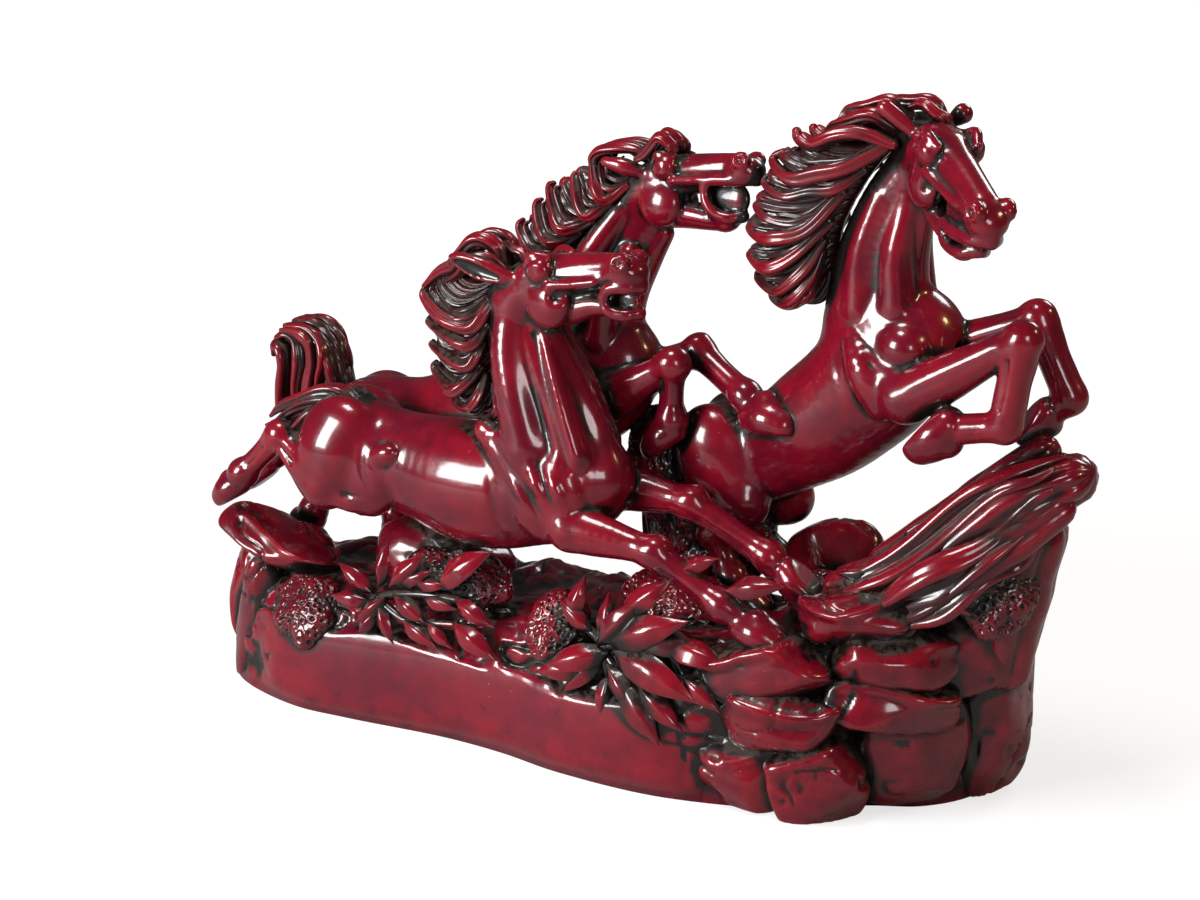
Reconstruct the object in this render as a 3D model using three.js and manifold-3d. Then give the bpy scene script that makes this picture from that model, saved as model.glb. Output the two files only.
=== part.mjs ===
// Three galloping horses on a rock: a table sculpture in dark red lacquered resin, from carved pieces.
// Millimetres, +Z up. +X is the way that the horses run, and -Y is the front that faces the room.
// The origin is the middle of the sculpture's outline seen from above, on the surface that it stands on.
import * as THREE from "three";
import { mergeVertices } from "three/addons/utils/BufferGeometryUtils.js";
import Module from "manifold-3d";

const wasm = await Module();
wasm.setup();

// Driving dimensions. The three horses are one breed, so they share the sizes of their bodies and limbs.
const bondGap = 0.3; // glue line between two neighbouring pieces
const torsoHalfWidth = 16.5;
const torsoHalfHeight = 20;
const neckHalfWidth = 11.5;
const neckHalfDepth = 19;
const headLength = 50; // from the poll to the nose
const headHalfWidth = 9;
const cheekHalfDepth = 11;
const jawHalfWidth = 4.8;
const jawHalfDepth = 5;
const eyeRadius = 3.2;
const earRadius = 4;
const shoulderRadius = 11;
const forearmRadius = 7;
const kneeRadius = 5.7;
const cannonRadius = 4.3;
const fetlockRadius = 5.2;
const pasternRadius = 4.4;
const hoofRadius = 7.4;
const hoofHeight = 11;
const thighRadius = 15;
const gaskinRadius = 8.6;
const hockRadius = 5.6;
const maneLockRadius = 5; // thickest place of one lock
const maneHalfWidth = 7; // the ridge that the locks grow from
const maneLocks = 10;
const lockTipRadius = 1.2;
const leafHalfWidth = 5; // of a long leaf; a short one is narrower
const leafHalfThickness = 1.5;
const stalkRadius = 2;
const leafLift = 2.5; // how far the middle of a leaf arches out
const leafTip = 0.6;
const beadRadius = 5;
const beadSpacing = 12;
const mossHalfThickness = 5;
const swellHeight = 2.2; // of the low swells on the back of the ground
const swellLength = 31;
const swellDepth = 1.6; // how far the back lies in from the ground's outline

// Counts that set how fine the carved forms are.
const torsoSides = 12;
const torsoSteps = 2;
const neckSides = 10;
const limbSides = 6;
const headSides = 8;
const lockSides = 4;
const leafSides = 4;
const tailSides = 5;
const boulderDetail = 1;
const groundSteps = 3;
const boulderSquareness = 2.7; // 2 is a ball, more is boxier

const vec = (p) => new THREE.Vector3(...p);
const between = (a, b, share) => a.map((v, i) => v + (b[i] - v) * share);
const plus = (a, b) => a.map((v, i) => v + b[i]);
const join = (solids) => solids.reduce((whole, s) => whole.add(s));

// A closed solid from points and triangles of point numbers.
function solid(points, triangles) {
  return new wasm.Manifold(new wasm.Mesh({
    numProp: 3,
    vertProperties: new Float32Array(points.flatMap((p) => [p.x, p.y, p.z])),
    triVerts: new Uint32Array(triangles.flat()),
  }));
}

// A closed solid from a ready-made geometry.
function fromGeometry(geometry) {
  geometry.deleteAttribute("normal");
  geometry.deleteAttribute("uv");
  const merged = mergeVertices(geometry, 1e-4);
  return new wasm.Manifold(new wasm.Mesh({
    numProp: 3,
    vertProperties: new Float32Array(merged.attributes.position.array),
    triVerts: new Uint32Array(merged.index.array),
  }));
}

// Rings of equal count joined by side faces, and closed at each end by a fan to one point.
function skin(rings, firstPoint, lastPoint) {
  const sides = rings[0].length;
  const pole = rings.length * sides;
  const top = pole - sides;
  const triangles = [];
  for (let i = 0; i < sides; i++) {
    const next = (i + 1) % sides;
    for (let low = 0; low < top; low += sides) {
      triangles.push([low + i, low + next, low + sides + next]);
      triangles.push([low + i, low + sides + next, low + sides + i]);
    }
    triangles.push([pole, next, i], [pole + 1, top + i, top + next]);
  }
  return solid([...rings.flat(), firstPoint, lastPoint], triangles);
}

// An ellipse carried along a smooth path. A station is [x, y, z, half width, half depth], and the half width
// is measured along side. Each end is a dome, whose depth is roundness times the smaller half size there.
function sweep(stations, grow, { side = [0, 1, 0], sides = limbSides, steps = 1, roundness = 0.7 } = {}) {
  const path = new THREE.CatmullRomCurve3(stations.map(([x, y, z]) => new THREE.Vector3(x, y, z)));
  const sizes = new THREE.CatmullRomCurve3(stations.map((s) => new THREE.Vector3(s[3], s[4], 0)));
  const sideways = vec(side).normalize();
  const ring = (t, ahead, share) => {
    const size = sizes.getPoint(t);
    const tangent = path.getTangent(t);
    const across = sideways.clone().addScaledVector(tangent, -sideways.dot(tangent)).normalize();
    const deep = new THREE.Vector3().crossVectors(tangent, across);
    const centre = path.getPoint(t).addScaledVector(tangent, ahead);
    return Array.from({ length: sides }, (_, i) => {
      const angle = (2 * Math.PI * (i + 0.5)) / sides;
      return centre.clone()
        .addScaledVector(across, Math.cos(angle) * (size.x + grow) * share)
        .addScaledVector(deep, Math.sin(angle) * (size.y + grow) * share);
    });
  };
  const domeDepth = (t) => roundness * Math.min(sizes.getPoint(t).x, sizes.getPoint(t).y) + grow;
  const pole = (t, ahead) => path.getPoint(t).addScaledVector(path.getTangent(t), ahead);
  const count = (stations.length - 1) * steps;
  const rings = Array.from({ length: count + 1 }, (_, k) => ring(k / count, 0, 1));
  const start = -domeDepth(0);
  const finish = domeDepth(1);
  const rimShare = 0.72; // how wide a dome still is at two thirds of its depth
  const rimPlace = 0.66;
  const closed = [ring(0, start * rimPlace, rimShare), ...rings, ring(1, finish * rimPlace, rimShare)];
  return skin(closed, pole(0, start), pole(1, finish));
}

// A ball of small flat faces.
function ball([x, y, z], radius, grow) {
  const geometry = new THREE.IcosahedronGeometry(radius + grow);
  geometry.translate(x, y, z);
  return fromGeometry(geometry);
}

// Torso: a barrel along the spine. A place is [x, y, z, share of the half width, share of the half height].
function torso(horse, grow) {
  const stations = horse.spine.map(([x, y, z, w, h]) => [x, y, z, w * torsoHalfWidth, h * torsoHalfHeight]);
  return sweep(stations, grow, { side: horse.side, sides: torsoSides, steps: torsoSteps });
}

// Neck: thick where it leaves the chest, narrow behind the cheeks.
function neck(horse, grow) {
  const shares = [1, 0.84, 0.66, 0.54];
  const stations = horse.neck.map((p, i) => [...p, neckHalfWidth * shares[i], neckHalfDepth * shares[i]]);
  return sweep(stations, grow, { side: horse.side, sides: neckSides });
}

// Head: skull and face, lower jaw, two eyes and two ears. Places on it are shares of the head's length along
// the face and upward from it, and size is the head's size beside that of the breed.
function head(horse, grow) {
  const { poll, nose, side, size, jaw, ears } = horse.head;
  const forward = vec(nose).sub(vec(poll)).normalize();
  const across = vec(side).addScaledVector(forward, -vec(side).dot(forward)).normalize();
  const upward = new THREE.Vector3().crossVectors(forward, across);
  const place = (along, aside, rise) => vec(poll)
    .addScaledVector(forward, along * size * headLength)
    .addScaledVector(across, aside * size * headLength)
    .addScaledVector(upward, rise * size * headLength)
    .toArray();
  const turned = { side: across.toArray() };
  const skull = [
    [-0.02, -0.04, 0.84, 0.75],
    [0.24, -0.03, 1, 1],
    [0.48, 0.036, 0.8, 0.69],
    [0.72, 0.036, 0.69, 0.51],
    [0.92, 0.028, 0.71, 0.47],
  ].map(([along, rise, w, d]) => [
    ...place(along, 0, rise),
    headHalfWidth * w * size,
    cheekHalfDepth * d * size,
  ]);
  const jawShares = [0.95, 0.7, 0.55];
  const chin = jaw.map(([along, rise], i) => [
    ...place(along, 0, rise),
    jawHalfWidth * jawShares[i] * size,
    jawHalfDepth * jawShares[i] * size,
  ]);
  const eyes = [-0.14, 0.14].map((aside) => ball(place(0.3, aside, 0.108), eyeRadius * size, grow));
  const earFlatness = 0.65;
  const flaps = ears.map(([root, tip]) => sweep([
    [...root, earRadius * 0.5, earRadius * 0.7],
    [...between(root, tip, 0.45), earRadius * earFlatness, earRadius],
    [...tip, lockTipRadius, lockTipRadius],
  ], grow, { side: horse.side, sides: lockSides }));
  const face = sweep(skull, grow, { ...turned, sides: headSides });
  return join([face, sweep(chin, grow, turned), ...eyes, ...flaps]);
}

// Hoof: a cone that widens down to a flat sole. It points from the fetlock through its own middle.
function hoof(fetlock, middle, grow) {
  const down = vec(middle).sub(vec(fetlock)).normalize().toArray();
  const along = (distance) => down.map((v, i) => middle[i] + v * distance);
  return sweep([
    [...along(-hoofHeight * 0.5), pasternRadius * 1.1, pasternRadius * 1.1],
    [...along(0), hoofRadius * 0.9, hoofRadius * 0.9],
    [...along(hoofHeight * 0.4), hoofRadius * 0.85, hoofRadius * 0.95],
  ], grow, { roundness: 0.25 });
}

// Foreleg: shoulder and forearm down to the knee, cannon and pastern below it, and the hoof.
function foreleg([shoulder, elbow, knee, fetlock, tip], grow) {
  const upper = sweep([
    [...shoulder, shoulderRadius * 0.8, shoulderRadius],
    [...elbow, forearmRadius * 1.15, forearmRadius * 1.35],
    [...between(elbow, knee, 0.55), forearmRadius * 0.85, forearmRadius * 0.9],
    [...knee, kneeRadius, kneeRadius],
  ], grow);
  return join([upper, shank(knee, kneeRadius, fetlock, tip, grow), hoof(fetlock, tip, grow)]);
}

// Shank: from a knee or a hock down the cannon bone and the fetlock to the pastern.
function shank(joint, jointRadius, fetlock, tip, grow) {
  return sweep([
    [...joint, jointRadius, jointRadius],
    [...between(joint, fetlock, 0.4), cannonRadius, cannonRadius],
    [...fetlock, fetlockRadius, fetlockRadius],
    [...between(fetlock, tip, 0.6), pasternRadius, pasternRadius],
  ], grow);
}

// Hind leg: thigh, gaskin, the shank below the hock, and the hoof.
function hindleg([hip, stifle, hock, fetlock, tip], grow) {
  const thigh = sweep([
    [...hip, thighRadius * 0.7, thighRadius],
    [...stifle, thighRadius * 0.6, thighRadius * 0.8],
  ], grow);
  const gaskin = sweep([
    [...stifle, gaskinRadius, gaskinRadius * 1.2],
    [...between(stifle, hock, 0.5), gaskinRadius * 0.85, gaskinRadius],
    [...hock, hockRadius, hockRadius],
  ], grow);
  return join([thigh, gaskin, shank(hock, hockRadius, fetlock, tip, grow), hoof(fetlock, tip, grow)]);
}

// One lock of hair, which swells from its root, bends by lift and ends in a narrow tip.
function lock(root, tip, lift, radius, grow) {
  return sweep([
    [...root, radius * 0.8, radius * 0.8],
    [...plus(between(root, tip, 0.4), lift), radius, radius * 1.25],
    [...plus(between(root, tip, 0.8), lift.map((v) => v * 0.5)), radius * 0.8, radius],
    [...tip, lockTipRadius, lockTipRadius],
  ], grow, { sides: lockSides });
}

// Mane: a ridge along the crest of the neck, a flat body of hair behind it, and locks that stream back from
// the ridge, turn by turn on its two sides. The forelock is one more lock, between the ears.
function mane(horse, grow) {
  const { crest, tips, lift, forelock } = horse.mane;
  const bodyPlace = 0.45; // how far back the middle of the body of hair lies
  const bodyReach = 0.4;
  const maneSpread = 0.8; // how far out the locks lie
  const crestLine = new THREE.CatmullRomCurve3(crest.map(vec));
  const tipLine = new THREE.CatmullRomCurve3(tips.map(vec));
  const ridge = sweep(
    crest.map((p) => [...p, maneHalfWidth, maneLockRadius * 1.2]),
    grow,
    { side: horse.side },
  );
  const hair = sweep(
    crest.map((p, i) => {
      const length = vec(p).distanceTo(vec(tips[i]));
      return [...between(p, tips[i], bodyPlace), maneHalfWidth * 0.9, length * bodyReach];
    }),
    grow,
    { side: horse.side },
  );
  const locks = Array.from({ length: maneLocks }, (_, i) => {
    const t = i / (maneLocks - 1);
    const sideways = [0, (i % 2 ? maneSpread : -maneSpread) * maneHalfWidth, 0];
    const root = plus(crestLine.getPoint(t).toArray(), sideways);
    const tip = plus(tipLine.getPoint(t).toArray(), sideways);
    return lock(root, tip, lift, maneLockRadius, grow);
  });
  const fore = forelock.map(([root, tip]) => lock(root, tip, lift, maneLockRadius * 0.7, grow));
  return join([ridge, hair, ...locks, ...fore]);
}

// Tail: three strands side by side along one curve. fan is how far the outer strands lie from the middle one.
function tail(horse, grow) {
  const { path, fan, radius } = horse.tail;
  const strands = [-1, 0, 1].map((place) => {
    const stations = path.map((p, i) => {
      const share = i / (path.length - 1);
      const swollen = 0.7 + 0.5 * Math.sin(Math.PI * (0.15 + 0.8 * share));
      const thick = radius * swollen * (place === 0 ? 1.1 : 0.9);
      const spread = place * (0.3 + 0.7 * share);
      return [...plus(p, fan.map((v) => v * spread)), thick, thick];
    });
    return sweep(stations, grow, { sides: tailSides });
  });
  return join(strands);
}

// A boulder: a rounded box of three half sizes, with flat chips where it once broke from its bed.
// turn is [about Z, about Y] in degrees.
function boulder({ at, half, turn = [0, 0], chips = 7, seed = 1 }, grow) {
  const geometry = new THREE.IcosahedronGeometry(1, boulderDetail);
  geometry.deleteAttribute("normal");
  geometry.deleteAttribute("uv");
  const merged = mergeVertices(geometry, 1e-4);
  const places = merged.attributes.position;
  const chipDepth = 0.78; // a chip's flat lies at this share of the radius
  const goldenAngle = Math.PI * (3 - Math.sqrt(5));
  const normals = Array.from({ length: chips }, (_, i) => {
    const height = 1 - (2 * (i + 0.5)) / chips;
    const reach = Math.sqrt(1 - height * height);
    const angle = goldenAngle * i + seed;
    return new THREE.Vector3(Math.cos(angle) * reach, Math.sin(angle) * reach, height);
  });
  const p = new THREE.Vector3();
  const size = vec(half);
  const [heading, dip] = turn.map(THREE.MathUtils.degToRad);
  const spin = new THREE.Euler(0, dip, heading, "ZYX");
  for (let i = 0; i < places.count; i++) {
    p.fromBufferAttribute(places, i);
    const norm = p.toArray().reduce((sum, v) => sum + Math.abs(v) ** boulderSquareness, 0);
    p.divideScalar(norm ** (1 / boulderSquareness));
    for (const normal of normals) {
      const over = p.dot(normal) - chipDepth;
      if (over > 0) p.addScaledVector(normal, -over * 0.85);
    }
    p.multiply(size).addScaledVector(p.clone().normalize(), grow).applyEuler(spin).add(vec(at));
    places.setXYZ(i, p.x, p.y, p.z);
  }
  return fromGeometry(merged);
}

// Tongues of rock that rise side by side. Each tongue is a list of sweep stations.
function tongues(list, grow) {
  return join(list.map((stations) => sweep(stations, grow)));
}

// A spray: stalks, and the leaves that grow from them. A leaf is [root, tip], a lens with a ridge along its
// middle, which arches out towards facing.
function spray({ facing, stalks, leaves }, grow) {
  const out = vec(facing).normalize();
  const stems = stalks.map((places) => sweep(
    places.map((p) => [...p, stalkRadius, stalkRadius]),
    grow,
    { side: facing, sides: leafSides },
  ));
  const leafBreadth = 0.17; // half the breadth of a short leaf, as a share of its length
  const blades = leaves.map(([root, tip]) => {
    const side = new THREE.Vector3().crossVectors(out, vec(tip).sub(vec(root)));
    const half = Math.min(leafHalfWidth, vec(root).distanceTo(vec(tip)) * leafBreadth);
    const raised = (lift) => out.clone().multiplyScalar(lift).toArray();
    const place = (share, lift) => plus(between(root, tip, share), raised(lift));
    return sweep([
      [...place(0, 0), half * 0.4, leafHalfThickness],
      [...place(0.5, leafLift), half, leafHalfThickness],
      [...place(1, leafLift * 0.4), leafTip, leafTip],
    ], grow, { side: side.toArray(), sides: leafSides });
  });
  return join([...stems, ...blades]);
}

// Moss: a low cushion set with a close pattern of beads.
function moss({ at, half, facing }, grow) {
  const out = vec(facing).normalize();
  const right = new THREE.Vector3(1, 0, 0).addScaledVector(out, -out.x).normalize();
  const upward = new THREE.Vector3().crossVectors(out, right);
  const axes = new THREE.Matrix4().makeBasis(right, upward, out);
  const cushion = new THREE.IcosahedronGeometry(1, 1);
  cushion.scale(half[0] + grow, half[1] + grow, mossHalfThickness + grow);
  cushion.applyMatrix4(axes);
  cushion.translate(...at);
  const beads = [];
  const rows = Math.floor(half[1] / beadSpacing);
  for (let row = -rows; row <= rows; row++) {
    const columns = Math.floor(half[0] / beadSpacing);
    for (let column = -columns; column <= columns; column++) {
      const u = (column + (row % 2 ? 0.5 : 0)) * beadSpacing;
      const v = row * beadSpacing * 0.87;
      const inside = 1 - (u / half[0]) ** 2 - (v / half[1]) ** 2;
      if (inside < 0.12) continue;
      const lift = mossHalfThickness * Math.sqrt(inside) * 0.8;
      const place = vec(at).addScaledVector(right, u).addScaledVector(upward, v).addScaledVector(out, lift);
      beads.push(ball(place.toArray(), beadRadius, grow));
    }
  }
  return join([fromGeometry(cushion), ...beads]);
}

// Ground: an arch of rounded section, lofted along X through sections of [x, front y, back y, height].
// Its back is a bank of low swells.
function ground(sections, grow) {
  const squareness = 0.5; // 1 is a round arch, less is squarer
  const backAngles = [0, 0.03, 0.12, 0.27, 0.48, 0.75, 1.1];
  const frontAngles = [0.5, 0.625, 0.75, 0.875, 1].map((share) => share * Math.PI);
  const curve = (points) => new THREE.CatmullRomCurve3(points.map(vec), false, "catmullrom");
  const frame = curve(sections.map(([x, front, back]) => [x, front, back]));
  const tops = curve(sections.map((section) => [section[3], 0, 0]));
  const count = (sections.length - 1) * groundSteps;
  const wave = (2 * Math.PI) / swellLength;
  const swell = (x, z) => swellHeight * Math.sin(wave * x + 1.4 * Math.sin(0.55 * wave * z + 0.5))
    * Math.cos(0.8 * wave * z - 0.22 * wave * x) - swellDepth;
  const rings = Array.from({ length: count + 1 }, (_, k) => {
    const { x, y: front, z: back } = frame.getPoint(k / count);
    const height = tops.getPoint(k / count).x;
    return [...backAngles, ...frontAngles].map((angle) => {
      const reach = Math.sign(Math.cos(angle)) * Math.abs(Math.cos(angle)) ** squareness;
      const rise = angle === 0 || angle === Math.PI ? 0 : Math.sin(angle) ** squareness;
      const y = (front + back) / 2 + ((back - front) / 2) * reach;
      const z = height * rise;
      const backShare = THREE.MathUtils.clamp((y - 4) / 12, 0, 1) * THREE.MathUtils.clamp(z / 3, 0, 1);
      const lift = grow + swell(x, z) * backShare;
      const length = Math.hypot(reach, rise);
      return new THREE.Vector3(x, y + (lift * reach) / length, rise === 0 ? 0 : z + (lift * rise) / length);
    });
  });
  const endPoint = ([x, front, back], ahead) => new THREE.Vector3(x + ahead, (front + back) / 2, 0);
  return skin(rings, endPoint(sections[0], -grow), endPoint(sections.at(-1), grow));
}

// The near horse stretches out in a flat gallop at the front left.
const nearHorse = {
  name: "near_horse",
  side: [0, 1, 0],
  spine: [
    [-101, -14, 92, 0.6, 0.6],
    [-90, -14, 90, 1, 0.9],
    [-70, -14, 88, 0.95, 0.88],
    [-48, -14, 86, 1.04, 1],
    [-24, -14, 87, 1.02, 1.02],
    [-6, -14, 92, 0.98, 1.05],
    [5, -14, 94, 0.7, 0.75],
  ],
  neck: [[-5, -14, 107], [-12, -15, 127], [-20, -16, 145], [-17, -16.5, 156]],
  head: {
    poll: [-21.6, -15.4, 156.1],
    nose: [28.4, -20.7, 168],
    side: [0.12, 0.99, -0.06],
    size: 1.035,
    jaw: [[0.36, -0.17], [0.6, -0.17], [0.86, -0.21]],
    ears: [[[-19, -22, 161], [-41, -24, 166]], [[-20, -8, 161], [-37, -7, 166]]],
  },
  mane: {
    crest: [[-22, -16, 163], [-32, -16, 151], [-32, -15, 134], [-29, -15, 118]],
    tips: [[-40, -17, 170], [-57, -17, 152], [-57, -17, 132], [-44, -17, 113]],
    lift: [-2, 0, 3],
    forelock: [],
  },
  tail: {
    path: [[-90, -15, 105], [-101, -15, 106], [-111, -15, 103], [-121, -15, 97]],
    fan: [0, 5, -2],
    radius: 5.4,
  },
  forelegs: {
    near: [[-2, -25, 90], [4, -26, 81], [35, -26, 78.5], [60, -26, 65], [73, -26, 58.5]],
    far: [[-2, -4, 94], [9, -4, 90], [37, -5, 89.5], [66, -5, 76], [76, -5, 69]],
  },
  hindlegs: {
    near: [[-92, -24, 90], [-95, -25, 80], [-114, -24, 94], [-131, -24, 77], [-136, -24, 71]],
    far: [[-92, -4, 88], [-96, -3, 78], [-120, -3, 92], [-133, -3, 78], [-139, -3, 71]],
  },
};

// The far horse runs beside it, with its neck stretched high and its mouth open.
const farHorse = {
  name: "far_horse",
  side: [0, 1, 0],
  spine: [
    [-112, 18, 88, 0.6, 0.6],
    [-101, 18, 88, 1, 0.9],
    [-80, 18, 91, 0.95, 0.88],
    [-58, 18, 97, 1.02, 1],
    [-34, 18, 107, 1, 1.02],
    [-14, 18, 117, 0.95, 1.08],
    [0, 18, 126, 0.75, 0.85],
  ],
  neck: [[-14, 18, 131], [0, 18, 152], [8, 18, 172], [10, 18, 185]],
  head: {
    poll: [5.8, 17.4, 186.6],
    nose: [51.5, 14.1, 196.6],
    side: [0.1, 0.98, -0.16],
    size: 0.94,
    jaw: [[0.32, -0.19], [0.56, -0.26], [0.78, -0.29]],
    ears: [[[8, 11, 193], [-4, 9, 196]], [[9, 23, 193], [-4, 25, 198]]],
  },
  mane: {
    crest: [[4, 18, 193], [-6, 18, 178], [-16, 18, 163], [-30, 18, 147]],
    tips: [[-7, 16, 199], [-27, 16, 187], [-44, 16, 171], [-49, 16, 155]],
    lift: [-1, 0, -2],
    forelock: [[[2, 18, 197], [18, 15, 206]]],
  },
  tail: {
    path: [[-121, 18, 90], [-127, 18, 99], [-127, 18, 109], [-132, 18, 116], [-139, 18, 117]],
    fan: [7, 3, 1],
    radius: 5.8,
  },
  forelegs: {
    near: [[-12, 7, 117], [-4, 6, 114], [24, 6, 132], [24, 6, 112.5], [21, 6, 106]],
    far: [[-12, 27, 118], [-4, 25, 116], [26, 20, 133], [49, 12, 123], [61, 8.5, 117]],
  },
  hindlegs: {
    near: [[-98, 7, 84], [-104, 8, 72], [-120, 10, 68], [-126, 10, 54], [-130, 10, 47]],
    far: [[-98, 29, 84], [-90, 30, 70], [-108, 31, 62], [-104, 31, 50], [-100, 31, 44]],
  },
};

// The leaping horse rears over the crag on the right, with its head turned to the front.
const leapingHorse = {
  name: "leaping_horse",
  side: [0, 1, 0],
  spine: [
    [24, 27, 92, 0.65, 0.65],
    [36, 26, 97, 0.95, 0.92],
    [54, 25, 104, 0.95, 0.88],
    [72, 23, 116, 1, 0.96],
    [89, 20, 132, 1.04, 1.05],
    [102, 19, 147, 0.95, 0.95],
  ],
  neck: [[93, 19, 152], [94, 18, 170], [97, 17, 189], [103, 16, 203]],
  head: {
    poll: [106.2, 15.9, 213.2],
    nose: [142.9, -16.6, 193.7],
    side: [0.655, 0.755, -0.025],
    size: 1.055,
    jaw: [[0.32, -0.23], [0.56, -0.3], [0.82, -0.25]],
    ears: [[[103, 8, 216], [94, 7, 223.5]], [[112, 22, 217], [117, 20, 223.5]]],
  },
  mane: {
    crest: [[100, 14, 215], [86, 15, 200], [77, 16, 184], [75, 17, 168]],
    tips: [[82, 13, 216], [57, 11, 200], [45, 11, 177], [58, 12, 155]],
    lift: [-2, 0, -1],
    forelock: [[[100, 14, 220], [115, 11, 222]]],
  },
  tail: {
    path: [[26, 28, 98], [14, 30, 98], [6, 31, 86], [3, 32, 70], [4, 33, 54]],
    fan: [2, 4, 0],
    radius: 5.4,
  },
  forelegs: {
    near: [[99, 8, 140], [108, 4, 134], [147, 0, 159], [143, -1, 131], [122, -1, 125]],
    far: [[100, 28, 143], [110, 26, 143], [143, 22, 160], [155, 22, 136], [146, 21, 127]],
  },
  hindlegs: {
    near: [[36, 18, 96], [48, 17, 82], [34, 17, 72], [42, 16, 58], [47, 16, 51]],
    far: [[38, 34, 96], [52, 36, 82], [40, 37, 72], [48, 37, 60], [53, 37, 54]],
  },
};

// The rock behind the leaping horse, which carries its haunches and holds its hind feet.
const thicketRock = { at: [26, 30, 74], half: [27, 15, 36], chips: 12, seed: 2 };

// The other rocks that are pieces of their own. half is along the rock's length, its depth and its height.
const rocks = {
  rear_hump: { at: [72, 32, 62], half: [19, 12, 19], chips: 8, seed: 3 },
  belly_rock: { at: [-62, -2, 52], half: [32, 22, 19], chips: 12, seed: 4 },
  ledge_slab: { at: [-124, -12, 50], half: [27, 17, 7.5], turn: [0, 15], chips: 9, seed: 6 },
  pillar_rock: { at: [-128, -20, 20], half: [11, 9, 30], turn: [0, 6], chips: 9, seed: 7 },
  left_end_rock: { at: [-142, 6, 22], half: [13, 23, 34], chips: 10, seed: 8 },
  ridge_rock: { at: [104, -12, 66], half: [23, 13, 10], turn: [25, -4], chips: 8, seed: 9 },
  hoof_rock: { at: [76, -26, 46], half: [25, 13, 12], turn: [5, -8], chips: 8, seed: 10 },
  upper_middle_rock: { at: [114, -11, 52], half: [23, 12, 10], turn: [30, 0], chips: 8, seed: 11 },
  middle_rock: { at: [113, -12, 37], half: [24, 13, 10.5], turn: [35, 0], chips: 8, seed: 12 },
  lower_front_rock: { at: [82, -28, 31], half: [23, 12, 12], turn: [5, -6], chips: 8, seed: 13 },
  corner_rock: { at: [130, 8, 52], half: [15, 13, 18], turn: [40, 0], chips: 8, seed: 14 },
  front_foot_rock: { at: [70, -27, 11], half: [20, 13, 16], chips: 8, seed: 15 },
  middle_foot_rock: { at: [94, -24, 12], half: [18, 13, 18], turn: [30, 0], chips: 8, seed: 16 },
  right_foot_rock: { at: [116, -2, 20], half: [22, 14, 24], turn: [40, 0], chips: 9, seed: 17 },
  right_end_rock: { at: [134, 24, 30], half: [13.5, 20, 37], chips: 10, seed: 18 },
};

// The crag: tongues of rock that lean to the right, over the post that carries them.
const cragTongues = [
  [
    [90, 3, 64, 15, 9],
    [110, 5, 74, 17, 11],
    [130, 10, 89, 17, 13],
    [147, 14, 105, 16, 12],
    [160, 14, 114, 12, 8],
  ],
  [[106, -4, 68, 9, 7], [126, -1, 78, 12, 9], [144, 5, 92, 11, 9], [157, 9, 106, 8, 7]],
  [[104, 24, 64, 12, 9], [124, 26, 80, 13, 10], [140, 24, 98, 12, 10], [150, 22, 111, 9, 7]],
  [[138, 16, 46, 11, 12], [142, 15, 68, 12, 12], [148, 14, 92, 13, 11]],
];

// Sprays of leaves that grow out between the rocks.
const sprays = {
  front_leaf_spray: {
    facing: [0.15, -0.85, 0.5],
    stalks: [
      [[27, -31, 57], [22, -34, 45], [24, -35, 37], [31, -37, 31]],
      [[22, -34, 46], [33, -33, 50], [44, -33, 49], [50, -34, 42]],
      [[23, -34, 42], [30, -36, 37], [37, -36, 36]],
      [[22, -34, 46], [15, -33, 50], [7, -32, 51]],
    ],
    leaves: [
      [[22, -33, 46], [21, -29, 63]],
      [[23, -34, 44], [1, -37, 37]],
      [[22, -34, 41], [10, -38, 28]],
      [[24, -35, 37], [22, -38, 22]],
      [[24, -35, 40], [38, -38, 27]],
      [[31, -37, 31], [40, -39, 20]],
      [[23, -33, 48], [52, -31, 58]],
      [[26, -34, 45], [59, -36, 36]],
      [[44, -32, 50], [67, -33, 46]],
      [[36, -36, 36], [53, -38, 24]],
      [[29, -36, 37], [46, -39, 19]],
      [[27, -31, 56], [44, -27, 70]],
      [[7, -32, 51], [12, -28, 67]],
      [[50, -34, 42], [66, -36, 33]],
    ],
  },
  left_leaf_spray: {
    facing: [0, -0.85, 0.5],
    stalks: [
      [[-72, -33, 44], [-60, -33, 48], [-48, -33, 50], [-36, -32, 50]],
      [[-68, -34, 45], [-56, -35, 40], [-46, -35, 41], [-36, -34, 42]],
    ],
    leaves: [
      [[-67, -32, 48], [-66, -28, 65]],
      [[-62, -32, 49], [-50, -29, 63]],
      [[-44, -32, 51], [-24, -27, 67]],
      [[-66, -34, 44], [-60, -36, 31]],
      [[-61, -33, 47], [-46, -35, 40]],
      [[-36, -32, 50], [-21, -33, 43]],
      [[-56, -35, 40], [-41, -36, 33]],
      [[-36, -34, 42], [-18, -36, 33]],
      [[-70, -33, 46], [-84, -31, 55]],
      [[-70, -34, 44], [-86, -35, 42]],
    ],
  },
  right_leaf_spray: {
    facing: [0.2, -0.75, 0.6],
    stalks: [[[104, -5, 77], [113, -4, 78], [123, -5, 77]]],
    leaves: [
      [[112, -4, 78], [138, 4, 85]],
      [[108, -4, 78], [108, 6, 88]],
      [[104, -6, 77], [121, -10, 73]],
      [[122, -6, 77], [139, -10, 72]],
      [[123, -4, 78], [145, -5, 77]],
      [[106, -5, 77], [92, -8, 75]],
    ],
  },
};

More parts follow.
